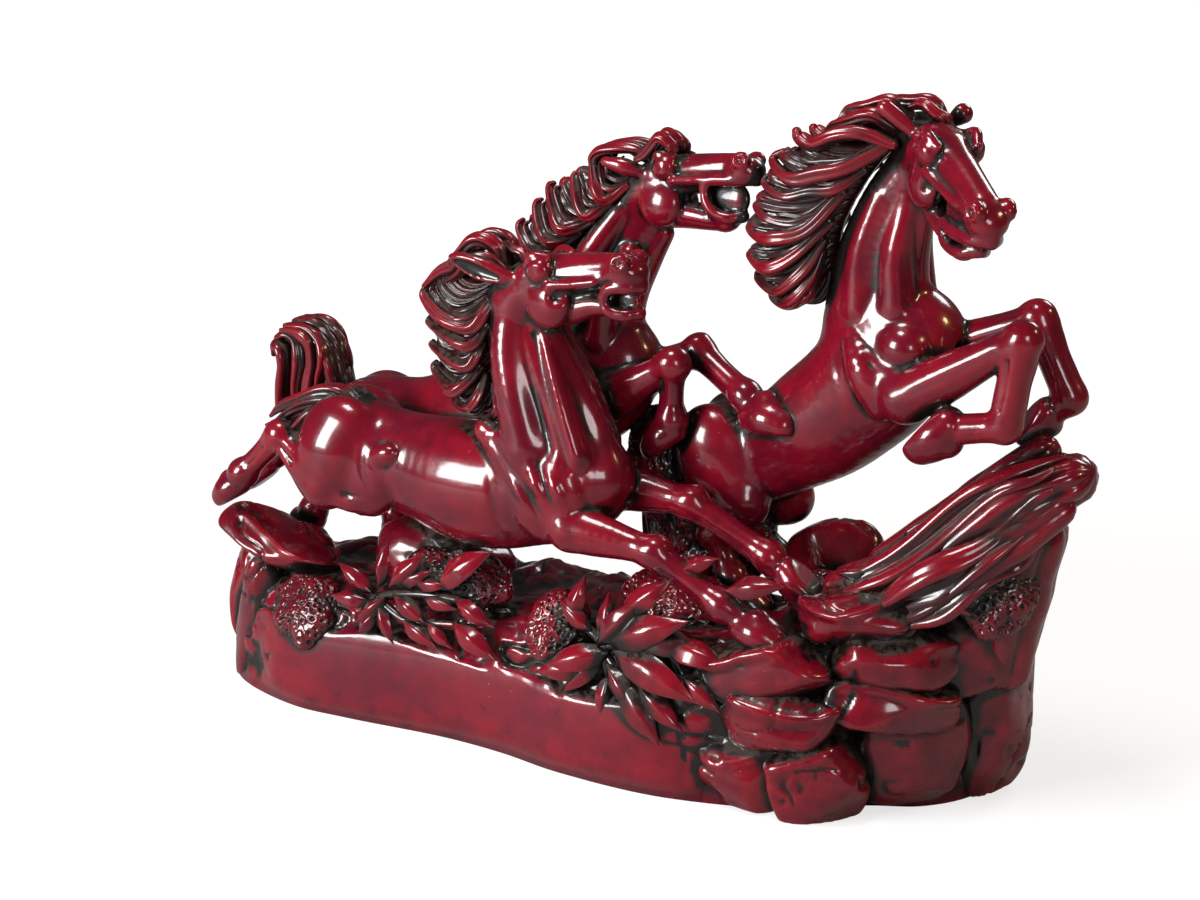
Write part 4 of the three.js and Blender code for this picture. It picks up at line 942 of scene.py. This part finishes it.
GROUND = [
    [-148, -10, 30, 28], [-132, -28, 40, 39], [-104, -38, 44, 43], [-79, -38, 46, 45], [-43, -35, 47, 46],
    [-18, -36, 47, 47], [8, -40, 47, 48], [42, -40, 47, 51], [74, -32, 46, 54], [92, -23, 45, 57],
    [106, -12, 44, 58], [121, -4, 42, 58], [131, 8, 40, 54], [136, 24, 36, 36]]
SWELL = 31  # from one swell of the back to the next
LIP = 34    # the smooth front's upper edge


def ground():
    """The ground, lofted along x from (front y, back y, height).

    The section is a squared half ellipse. Its front is smooth as a cushion up to the lip. Above it noise
    and grooves roughen the surface, and the back is a bank of swells.
    """
    rows, over, below = 300, 156, 40
    x, front, back, high = spline(GROUND, rows).T[..., None]
    a = np.linspace(0, np.pi, over)[None, :]
    reach = np.sign(np.cos(a)) * np.sqrt(np.abs(np.cos(a)))
    rise = np.sqrt(np.abs(np.sin(a)))
    y = (front + back) / 2 + (back - front) / 2 * -reach
    z = high * rise
    top = np.stack([x * np.ones_like(a), y, z], -1)
    share = np.linspace(0, 1, below + 2)[None, 1:-1]
    under = np.stack([x * np.ones_like(share), back + (front - back) * share, 0 * x * share], -1)
    out = unit(np.stack([0 * y, -reach + 0 * y, rise + 0 * y], -1) + 1e-9)
    lip = LIP + 5 * noise(np.stack([x * np.ones_like(a), y * 0, y * 0], -1), 26, 2)
    left = np.clip((x + 122) / 12, 0, 1)
    right = np.clip((60 - x) / 16, 0, 1)
    smooth = np.clip((lip - z) / 5, 0, 1) * np.clip((8 - y) / 6, 0, 1) * left * right
    bank = 1 - smooth
    strata = np.abs(noise(top * np.array([1, 1, 2.2]), 15, 3))
    behind = np.clip((y - 4) / 12, 0, 1)
    wave = 2 * np.pi / SWELL
    across = np.cos(0.8 * wave * z - 0.22 * wave * x)
    swell = 2.2 * np.sin(wave * x + 1.4 * np.sin(0.55 * wave * z + 0.5)) * across - 1.6
    coarse = swell * behind + (noise(top, 15, 4) * 2.2 - 1.6) * (1 - behind)
    grooves = 2.2 * np.exp(-(strata / 0.06) ** 2)
    bumps = (coarse + noise(top, 6, 5) * 1.1 + noise(top, 2.4, 6) * 0.4 - grooves) * bank
    bumps = bumps + (noise(top, 30, 7) * 0.5 + 0.6) * smooth
    foot = np.clip(z / 3, 0, 1)
    top = top + out * (bumps * foot)[..., None]
    ring = np.concatenate([top, under], 1)
    ring[..., 2] = np.maximum(ring[..., 2], 0.02)
    return skin(ring)


# Making the pieces

def keep(name, parts, slot, nodes, finish):
    """Notes a finished surface, with its material slot, the solids that it stands for and its finish."""
    points, faces = join(parts)
    pieces.append({"name": name, "points": points, "faces": faces, "slot": slot, "nodes": nodes,
                   "finish": finish})


def neighbours(faces, count):
    """A function that gives, for each of count points, the mean of the places that edges join it to."""
    a = np.concatenate([faces[:, i] for i in range(4)])
    b = np.concatenate([faces[:, (i + 1) % 4] for i in range(4)])
    real = a != b
    a, b = np.concatenate([a[real], b[real]]), np.concatenate([b[real], a[real]])
    number = np.maximum(np.bincount(a, minlength=count), 1)[:, None]
    total = lambda places: np.stack([np.bincount(a, places[b, k], minlength=count) for k in range(3)], 1)
    return lambda places: total(places) / number


def relax(points, faces, rounds, share=0.5):
    """Each point moves towards the mean of its neighbours, then back by a little more than that."""
    mean = neighbours(faces, len(points))
    for _ in range(rounds):
        for way in (share, -share * 1.04):
            points = points + (mean(points) - points) * way
    return points


BODY_NODES = ("torso", "neck", "head", "near_foreleg", "near_hindleg", "far_foreleg", "far_hindleg")
for horse, model in (("near_horse", near_horse), ("far_horse", far_horse), ("leaping_horse", leaping_horse)):
    points, faces = model().cast()
    points = relax(points, faces, 5)
    keep(f"{horse}_body", [(points, faces)], "lacquered_body", [f"{horse}_{n}" for n in BODY_NODES], "body")

for horse, model in (("near_horse", near_mane), ("far_horse", far_mane), ("leaping_horse", leaping_mane)):
    keep(f"{horse}_hair", model(), "lacquered_hair", [f"{horse}_mane"], "hair")
for horse, model in (("near_horse", near_tail), ("far_horse", far_tail), ("leaping_horse", leaping_tail)):
    keep(f"{horse}_tail_hair", model(), "lacquered_hair", [f"{horse}_tail"], "hair")

keep("ground_surface", [ground()], "lacquered_rock", ["ground"], "ground")

ROCKS = {
    "rear_hump": dict(at=[72, 32, 62], half=[19, 12, 19], seed=3),
    "belly_rock": dict(at=[-62, -2, 52], half=[32, 22, 19], chips=12, seed=4, rough=1.4, rows=84, sides=120),
    "ledge_slab": dict(at=[-124, -12, 50], half=[27, 17, 7.5], turn=[0, 15], chips=9, seed=6, ridge=1.2),
    "pillar_rock": dict(at=[-128, -20, 20], half=[11, 9, 30], turn=[0, 6], chips=9, seed=7, rough=1.2),
    "left_end_rock": dict(at=[-142, 6, 22], half=[13, 23, 34], chips=10, seed=8, rough=1.2),
    "ridge_rock": dict(at=[104, -12, 66], half=[23, 13, 10], turn=[25, -4], seed=9, ridge=1.6),
    "hoof_rock": dict(at=[76, -26, 46], half=[25, 13, 12], turn=[5, -8], seed=10, ridge=2.0),
    "upper_middle_rock": dict(at=[114, -11, 52], half=[23, 12, 10], turn=[30, 0], seed=11, ridge=1.6),
    "middle_rock": dict(at=[113, -12, 37], half=[24, 13, 10.5], turn=[35, 0], seed=12, ridge=1.8),
    "lower_front_rock": dict(at=[82, -28, 31], half=[23, 12, 12], turn=[5, -6], seed=13, ridge=1.8),
    "corner_rock": dict(at=[130, 8, 52], half=[15, 13, 18], turn=[40, 0], seed=14),
    "front_foot_rock": dict(at=[70, -27, 11], half=[20, 13, 16], seed=15, ridge=1.2),
    "middle_foot_rock": dict(at=[94, -24, 12], half=[18, 13, 18], turn=[30, 0], seed=16, ridge=1.2),
    "right_foot_rock": dict(at=[116, -2, 20], half=[22, 14, 24], turn=[40, 0], chips=9, seed=17, ridge=1.2),
    "right_end_rock": dict(at=[134, 24, 30], half=[13.5, 20, 37], chips=10, seed=18, rough=1.3),
    "thicket_rock": dict(at=[26, 30, 74], half=[27, 15, 36], chips=12, seed=2, rough=1.6, rows=170,
                         sides=230, pits=1.3),
}
BEHIND_NECK = dict(at=[10, 25, 90], half=[15, 12, 25], chips=12, seed=21, rough=1.6, rows=116, sides=156,
                   pits=1.3)
for name, shape in ROCKS.items():
    stones = [rock(**shape)] + ([rock(**BEHIND_NECK)] if name == "thicket_rock" else [])
    keep(f"{name}_surface", stones, "lacquered_rock", [name], "rock")

TONGUES = [
    ([[90, 3, 64, 15, 9], [110, 5, 74, 17, 11], [130, 10, 89, 17, 13], [147, 14, 105, 16, 12],
      [160, 14, 114, 12, 8]], 7),
    ([[106, -4, 68, 9, 7], [126, -1, 78, 12, 9], [144, 5, 92, 11, 9], [157, 9, 106, 8, 7]], 5),
    ([[104, 24, 64, 12, 9], [124, 26, 80, 13, 10], [140, 24, 98, 12, 10], [150, 22, 111, 9, 7]], 6),
    ([[138, 16, 46, 11, 12], [142, 15, 68, 12, 12], [148, 14, 92, 13, 11]], 6),
    ([[96, 2, 75, 6, 4], [114, -1, 83, 8, 5], [133, 3, 98, 9, 5], [150, 8, 113, 7, 4]], 4),
    ([[98, 13, 77, 8, 4], [116, 14, 89, 9, 5], [134, 15, 106, 10, 6], [150, 17, 120, 7, 5]], 5)]
CURLS = [
    ([(90, -11, 66), (108, -11, 79), (128, -6, 95), (145, -1, 110), (157, 4, 118)], 3.8),
    ([(96, -8, 74), (113, -6, 88), (131, 0, 104), (147, 6, 117), (159, 10, 121)], 3.6),
    ([(98, -16, 63), (116, -13, 75), (134, -8, 90), (148, -2, 104), (158, 2, 112)], 4.2),
    ([(88, -10, 60), (104, -16, 63), (124, -14, 74), (140, -8, 86), (152, 0, 99)], 3.8),
    ([(112, 2, 90), (128, 6, 103), (142, 10, 115), (153, 14, 122)], 3.2),
    ([(120, -13, 66), (136, -7, 76), (148, -1, 88), (156, 4, 101)], 4.0)]
parts = [flame(stations, strands, seed) for seed, (stations, strands) in enumerate(TONGUES, 1)]
parts += [lock(path, radius, 3, twist=1.6, count=60, phase=phase, waver=0.7)
          for phase, (path, radius) in enumerate(CURLS, 1)]
keep("crag_surface", parts, "lacquered_rock", ["crag"], "crag")

FRONT_LEAVES = [
    ((22, -33, 46), (21, -29, 63)), ((23, -34, 44), (1, -37, 37)), ((21, -34, 41), (10, -38, 28)),
    ((24, -35, 37), (22, -38, 22)), ((24, -35, 40), (38, -38, 27)), ((31, -37, 30), (40, -39, 20)),
    ((23, -33, 48), (52, -31, 58)), ((26, -34, 45), (59, -36, 36)), ((44, -32, 50), (67, -33, 46)),
    ((36, -36, 36), (53, -38, 24)), ((29, -36, 37), (46, -39, 19)), ((27, -31, 57), (44, -27, 70)),
    ((46, -25, 74), (58, -23, 80)), ((63, -26, 70), (82, -24, 74)), ((7, -32, 51), (12, -28, 67)),
    ((16, -33, 50), (3, -31, 57)), ((32, -33, 52), (57, -30, 47)), ((18, -35, 39), (-2, -37, 33)),
    ((50, -34, 41), (66, -36, 33)), ((20, -34, 47), (35, -30, 63))]
LEFT_LEAVES = [
    ((-67, -32, 50), (-66, -28, 65)), ((-63, -32, 50), (-50, -29, 63)), ((-44, -31, 53), (-24, -27, 67)),
    ((-52, -32, 52), (-39, -31, 54)), ((-66, -34, 44), (-60, -36, 31)), ((-61, -33, 47), (-46, -35, 40)),
    ((-49, -32, 48), (-35, -33, 47)), ((-36, -32, 50), (-21, -33, 43)), ((-56, -35, 39), (-41, -36, 33)),
    ((-46, -35, 41), (-36, -36, 34)), ((-36, -34, 42), (-18, -36, 33)), ((-73, -36, 33), (-66, -34, 42)),
    ((-70, -33, 47), (-84, -31, 55)), ((-70, -34, 43), (-86, -35, 42)), ((-64, -34, 46), (-75, -35, 36)),
    ((-58, -32, 51), (-46, -30, 57))]
RIGHT_LEAVES = [
    ((112, -4, 78), (138, 4, 85)), ((108, -3, 79), (108, 6, 88)), ((111, -3, 79), (129, 9, 90)),
    ((104, -6, 77), (121, -10, 73)), ((122, -6, 76), (139, -10, 72)), ((123, -3, 79), (145, -5, 77)),
    ((106, -5, 77), (92, -8, 75)), ((107, -7, 75), (108, -12, 66))]
FRONT_STALKS = [[(27, -31, 57), (22, -34, 45), (24, -35, 37), (31, -37, 31)],
                [(22, -34, 46), (33, -33, 50), (44, -33, 49), (50, -34, 42)],
                [(23, -34, 42), (30, -36, 37), (37, -36, 36)], [(22, -34, 46), (15, -33, 50), (7, -32, 51)]]
LEFT_STALKS = [[(-72, -33, 44), (-60, -33, 48), (-48, -33, 50), (-36, -32, 50)],
               [(-68, -34, 45), (-56, -35, 40), (-46, -35, 41), (-36, -34, 42)]]
RIGHT_STALKS = [[(104, -5, 77), (113, -4, 78), (123, -5, 77)]]
for side, rows, stalks, out, seed in (
        ("front", FRONT_LEAVES, FRONT_STALKS, (0.15, -0.85, 0.5), 21),
        ("left", LEFT_LEAVES, LEFT_STALKS, (0, -0.85, 0.5), 41),
        ("right", RIGHT_LEAVES, RIGHT_STALKS, (0.2, -0.75, 0.6), 61)):
    keep(f"{side}_leaves", leaves(rows, stalks, out, seed), "lacquered_leaves", [f"{side}_leaf_spray"],
         "leaf")

MOSS_DEPTH = 6.5
MOSS = {
    "left_moss": ([-100, -31, 34], [14, 13], [-0.1, -0.8, 0.6]),
    "belly_moss": ([-42, -22, 54], [21, 10], [0.1, -0.7, 0.7]),
    "front_moss": ([1, -30, 47], [11, 13], [0, -0.7, 0.7]),
    "middle_moss": ([32, -2, 53], [21, 12], [0.1, -0.4, 0.9]),
    "right_moss": ([84, 8, 60], [19, 12], [0, -0.3, 0.95]),
    "crag_moss": ([141, 1, 76], [14, 14], [0.4, -0.8, 0.4]),
}
for i, (name, (at, half, facing)) in enumerate(MOSS.items()):
    keep(f"{name}_mound", [cushion(at, half, facing, MOSS_DEPTH, i + 3)], "antiqued_moss", [name], "moss")


# Where the dark glaze settles, and painted shade where surfaces crowd together

def normals_of(points, faces):
    """Each point's normal, the mean of its faces' by their area, and the area that falls to it."""
    p = points[faces]
    n = np.cross(p[:, 2] - p[:, 0], p[:, 3] - p[:, 1])
    short = np.abs(n).sum(1) < 1e-12
    n[short] = np.cross(p[short, 1] - p[short, 0], p[short, 2] - p[short, 0])
    total = np.stack([np.bincount(faces.ravel(), np.repeat(n[:, k], 4), minlength=len(points))
                      for k in range(3)], 1)
    area = np.bincount(faces.ravel(), np.repeat(np.linalg.norm(n, axis=1) / 8, 4), minlength=len(points))
    return total / np.maximum(np.linalg.norm(total, axis=1, keepdims=True), 1e-9), area


def hollow_of(points, faces, normals, rounds):
    """How far the neighbourhood's mean lies outside the surface: above nought in grooves, below on ridges."""
    mean = neighbours(faces, len(points))
    soft = points
    for _ in range(rounds):
        soft = soft * 0.4 + 0.6 * mean(soft)
    return ((soft - points) * normals).sum(1)


def crowding(step=2.0, spread=3.2):
    """How much surface lies round a place just outside each point, against what a flat surface alone
    would have.

    All surface area is put on a grid and blurred with a bell of the given spread, through its Fourier
    transform.
    """
    every = np.concatenate([p["points"] for p in pieces])
    weight = np.concatenate([p["area"] for p in pieces])
    low = every.min(0) - 24
    shape = (np.ceil((every.max(0) + 24 - low) / step)).astype(int)
    cell = ((every - low) / step).astype(int)
    flat = np.ravel_multi_index(cell.T, shape)
    grid = np.bincount(flat, weight, minlength=int(np.prod(shape))).reshape(shape)
    waves = np.fft.rfftn(grid)
    for axis in range(3):
        f = np.fft.rfftfreq(shape[axis]) if axis == 2 else np.fft.fftfreq(shape[axis])
        bell = np.exp(-2 * (np.pi * f * spread / step) ** 2)
        waves = waves * bell.reshape([-1 if k == axis else 1 for k in range(3)])
    blurred = np.fft.irfftn(waves, shape) / step**3
    alone = np.exp(-0.5) / (np.sqrt(2 * np.pi) * spread)
    for p in pieces:
        place = (p["points"] + p["normals"] * spread - low) / step - 0.5
        p["crowd"] = sample(blurred, place) / alone - 1


for p in pieces:
    p["normals"], p["area"] = normals_of(p["points"], p["faces"])
crowding()
for p in pieces:
    fine = hollow_of(p["points"], p["faces"], p["normals"], 5)
    wide = hollow_of(p["points"], p["faces"], p["normals"], 24)
    groove = np.clip(fine / 0.12, -1, 1) * 0.5 + np.clip(wide / 0.5, -1, 1) * 0.5
    # The crowd term is painted shade where surfaces crowd together and under things; the groove term is the
    # dark glaze in the hollows.
    p["glaze_and_shade"] = np.clip(0.62 * np.clip(p["crowd"] - 0.25, 0, 2) + 0.75 * np.clip(groove, 0, 1), 0, 1)
    # edge marks the ridges, which take a lighter red: partly rubbed lacquer, partly a painted highlight.
    p["edge"] = np.clip(-groove, 0, 1)


# Finishes

class Value:
    """A socket that takes part in sums: each operation adds a Math node."""

    def __init__(self, maker, socket):
        self.maker, self.socket = maker, socket

    def math(self, kind, a, b):
        return self.maker.node("ShaderNodeMath", {"operation": kind}, {0: a, 1: b})

    def __add__(self, other): return self.math("ADD", self, other)
    def __radd__(self, other): return self.math("ADD", other, self)
    def __sub__(self, other): return self.math("SUBTRACT", self, other)
    def __rsub__(self, other): return self.math("SUBTRACT", other, self)
    def __mul__(self, other): return self.math("MULTIPLY", self, other)
    def __rmul__(self, other): return self.math("MULTIPLY", other, self)


class Finish:
    """A material under construction."""

    def __init__(self, name):
        self.material = bpy.data.materials.new(name)
        self.material.use_nodes = True
        self.tree = self.material.node_tree
        self.tree.nodes.clear()

    def node(self, kind, settings=None, inputs=None, output=0):
        """A new node with its settings and its inputs, linked or set. Gives one of its outputs."""
        node = self.tree.nodes.new(kind)
        for key, value in (settings or {}).items():
            setattr(node, key, value)
        for key, value in (inputs or {}).items():
            if isinstance(value, Value):
                self.tree.links.new(value.socket, node.inputs[key])
            else:
                node.inputs[key].default_value = value
        return Value(self, node.outputs[output]) if node.outputs else None

    def mix(self, share, a, b):
        """From colour a to colour b by share."""
        colours = {key: (*c, 1) if isinstance(c, tuple) else c for key, c in ((6, a), (7, b))}
        return self.node("ShaderNodeMix", {"data_type": "RGBA"}, {0: share, **colours}, output=2)

    def limited(self, value, low, high):
        """From 0 at low to 1 at high, and no further."""
        return self.node("ShaderNodeMapRange", {"interpolation_type": "SMOOTHSTEP"},
                         {0: value, 1: low, 2: high})


# Lighter red on the ridges: partly rubbed lacquer, partly a painted highlight.
WORN_EDGE_AND_HIGHLIGHT = (0.36, 0.005, 0.014)
# Near black: the dark glaze in the hollows, and painted shade where surfaces crowd together.
DARK_GLAZE_AND_SHADE = (0.007, 0.0035, 0.003)
DUST = (0.13, 0.085, 0.07)


def lacquer(name, bright, deep, glaze_and_shade_gain, gloss, pits=True):
    """Clear red lacquer: deep where it is thick and bright where it is thin, lighter still on the ridges as
    rubbed lacquer with a painted highlight, near black where the dark glaze settled in the hollows and as
    painted shade where surfaces crowd together, and dusty brown where that dark lies open to the top."""
    f = Finish(name)
    place = f.node("ShaderNodeTexCoord", output=3)
    glaze_and_shade, edge = (f.node("ShaderNodeAttribute", {"attribute_name": name}, output=2)
                   for name in ("glaze_and_shade", "edge"))
    cloud, fleck, brush = (
        f.node("ShaderNodeTexNoise", {},
               {"Vector": place, "Scale": scale, "Detail": detail, "Roughness": rough})
        for scale, detail, rough in ((38.0, 4.0, 0.6), (420.0, 3.0, 0.6), (150.0, 5.0, 0.7)))
    up = f.node("ShaderNodeSeparateXYZ", {}, {0: f.node("ShaderNodeNewGeometry", output=1)}, output=2)

    tone = f.mix(f.limited(cloud + brush * 0.35 - 0.15, 0.32, 0.72), deep, bright)
    # The ridges: rubbed lacquer with a painted highlight.
    tone = f.mix(edge * f.limited(brush, 0.3, 0.6) * 0.25, tone, WORN_EDGE_AND_HIGHLIGHT)
    # Near black: the dark glaze in the hollows, and painted shade where surfaces crowd together.
    dark = f.limited(glaze_and_shade * glaze_and_shade_gain + (brush - 0.5) * 0.5, 0.14, 0.62)
    tone = f.mix(dark, tone, DARK_GLAZE_AND_SHADE)
    open_glaze = f.limited(glaze_and_shade * glaze_and_shade_gain, 0.18, 0.5) * f.limited(up, 0.15, 0.8)
    dust = open_glaze * f.limited(fleck + brush - 0.5, 0.42, 0.62)
    tone = f.mix(dust * 0.4, tone, DUST)

    rough = gloss + 0.1 * brush + dark * 0.16 + dust * 0.35
    height = fleck * 0.4 + brush * 0.6
    if pits:
        cell = f.node("ShaderNodeTexVoronoi", {}, {"Vector": place, "Scale": 210.0, "Randomness": 1.0})
        height = height - 6.0 * (1 - f.limited(cell, 0.05, 0.12)) * f.limited(cloud, 0.5, 0.62)
    normal = f.node("ShaderNodeBump", {}, {"Strength": 0.22, "Distance": 0.0006, "Height": height})
    shader = f.node("ShaderNodeBsdfPrincipled", {}, {
        "Base Color": tone, "Roughness": rough, "Normal": normal, "IOR": 1.45, "Specular IOR Level": 0.3,
        "Coat Weight": 1 - dust, "Coat Roughness": 0.11, "Coat IOR": 1.45})
    f.node("ShaderNodeOutputMaterial", {}, {"Surface": shader})
    return f.material


FINISHES = {
    "body": lacquer("crimson_lacquer_body", (0.22, 0.003, 0.014), (0.11, 0.0025, 0.013), 1.0, 0.2),
    "hair": lacquer("crimson_lacquer_hair", (0.22, 0.003, 0.011), (0.11, 0.0025, 0.010), 0.52, 0.24,
                    pits=False),
    "leaf": lacquer("crimson_lacquer_leaves", (0.21, 0.003, 0.013), (0.10, 0.0025, 0.011), 0.7, 0.2,
                    pits=False),
    "rock": lacquer("crimson_lacquer_rock", (0.20, 0.003, 0.012), (0.09, 0.0025, 0.011), 0.9, 0.22),
    "crag": lacquer("crimson_lacquer_crag", (0.20, 0.003, 0.012), (0.09, 0.0025, 0.011), 0.5, 0.22),
    "ground": lacquer("crimson_lacquer_ground", (0.21, 0.003, 0.015), (0.12, 0.0025, 0.015), 1.0, 0.24),
    "moss": lacquer("glazed_moss", (0.18, 0.0035, 0.011), (0.07, 0.003, 0.009), 1.1, 0.22, pits=False),
}

for p in pieces:
    mesh = bpy.data.meshes.new(p["name"])
    faces = p["faces"]
    fan = faces[:, 2] == faces[:, 3]
    mesh.from_pydata(((p["points"] + BENCH) / 1000).tolist(), [],
                     faces[~fan].tolist() + faces[fan, :3].tolist())
    mesh.polygons.foreach_set("use_smooth", np.ones(len(mesh.polygons), bool))
    for key in ("glaze_and_shade", "edge"):
        mesh.attributes.new(key, "FLOAT", "POINT").data.foreach_set("value", p[key].astype(np.float32))
    mesh.materials.append(FINISHES[p["finish"]])
    mesh.update()
    piece = bpy.data.objects.new(p["name"], mesh)
    bpy.context.scene.collection.objects.link(piece)
    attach(piece, "root")
    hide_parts(*p["nodes"])


# Floor, lights and camera

def plain(name, colour, roughness, near_glow, far_glow):
    """A plain surface that looks lighter to the camera, by near_glow round the object and by far_glow
    beyond a metre from it, and lights nothing with it."""
    f = Finish(name)
    seen = f.node("ShaderNodeLightPath")
    place = f.node("ShaderNodeTexCoord", output=3)
    away = f.node("ShaderNodeVectorMath", {"operation": "LENGTH"}, {0: place}, output=1)
    glow = near_glow + (far_glow - near_glow) * f.limited(away, 0.25, 1.0)
    shader = f.node("ShaderNodeBsdfPrincipled", {}, {
        "Base Color": (*colour, 1), "Roughness": roughness, "Emission Color": seen * glow,
        "Emission Strength": 1.0})
    f.node("ShaderNodeOutputMaterial", {}, {"Surface": shader})
    return f.material


FLOOR_REACH = 6  # metres to each side
floor_mesh = bpy.data.meshes.new("floor")
corners = [(x * FLOOR_REACH, y * FLOOR_REACH, 0) for x, y in ((-1, -1), (1, -1), (1, 1), (-1, 1))]
floor_mesh.from_pydata(corners, [], [(0, 1, 2, 3)])
floor_mesh.materials.append(plain("pale_floor", (0.34, 0.34, 0.34), 0.8, 0.72, 1.0))
floor = bpy.data.objects.new("floor", floor_mesh)
bpy.context.scene.collection.objects.link(floor)


def aimed(obj, place, target):
    """Puts a lamp or camera in its place, looking at the target."""
    obj.location = place
    obj.rotation_euler = (Vector(target) - Vector(place)).to_track_quat("-Z", "Y").to_euler()
    bpy.context.scene.collection.objects.link(obj)


def softbox(name, place, size, power, colour=(1, 1, 1)):
    """A lit panel aimed at the sculpture: place and size in metres, power in watts."""
    light = bpy.data.lights.new(name, "AREA")
    light.shape, light.size, light.size_y = "RECTANGLE", *size
    light.energy, light.color = power, colour
    aimed(bpy.data.objects.new(name, light), place, (0, 0, 0.1))


softbox("window_box", (-0.75, -1.15, 0.5), (0.5, 0.55), 22)
softbox("top_box", (-0.25, -0.35, 1.5), (0.45, 0.4), 11)
softbox("front_box", (0.95, -1.1, 0.55), (0.3, 0.4), 3.5)
softbox("back_box", (0.3, 1.3, 1.0), (0.6, 0.4), 6)
softbox("warm_box", (1.1, 0.3, 0.9), (0.18, 0.18), 3, (1.0, 0.72, 0.35))

# A white world for the camera, which lights the sculpture only dimly.
world = bpy.data.worlds.new("studio")
world.use_nodes = True
nodes, links = world.node_tree.nodes, world.node_tree.links
dim, white = nodes["Background"], nodes.new("ShaderNodeBackground")
path, choice = nodes.new("ShaderNodeLightPath"), nodes.new("ShaderNodeMixShader")
for background, strength in ((dim, 0.05), (white, 1.0)):
    background.inputs["Color"].default_value = (1, 1, 1, 1)
    background.inputs["Strength"].default_value = strength
links.new(path.outputs[0], choice.inputs[0])
links.new(dim.outputs[0], choice.inputs[1])
links.new(white.outputs[0], choice.inputs[2])
links.new(choice.outputs[0], nodes["World Output"].inputs[0])
bpy.context.scene.world = world

# The camera looks at the middle, 100 mm up, from 30 degrees to the right of the front and 18 degrees up.
turn, tilt, distance = np.radians(30), np.radians(18), 0.9
target = (BENCH + 100 * UP) / 1000
back = np.array([np.sin(turn) * np.cos(tilt), -np.cos(turn) * np.cos(tilt), np.sin(tilt)])
camera_data = bpy.data.cameras.new("camera")
camera_data.sensor_width = 36
camera_data.lens = 81
camera = bpy.data.objects.new("camera", camera_data)
aimed(camera, target + back * distance, target)
bpy.context.scene.camera = camera
bpy.context.scene.view_settings.view_transform = "Standard"
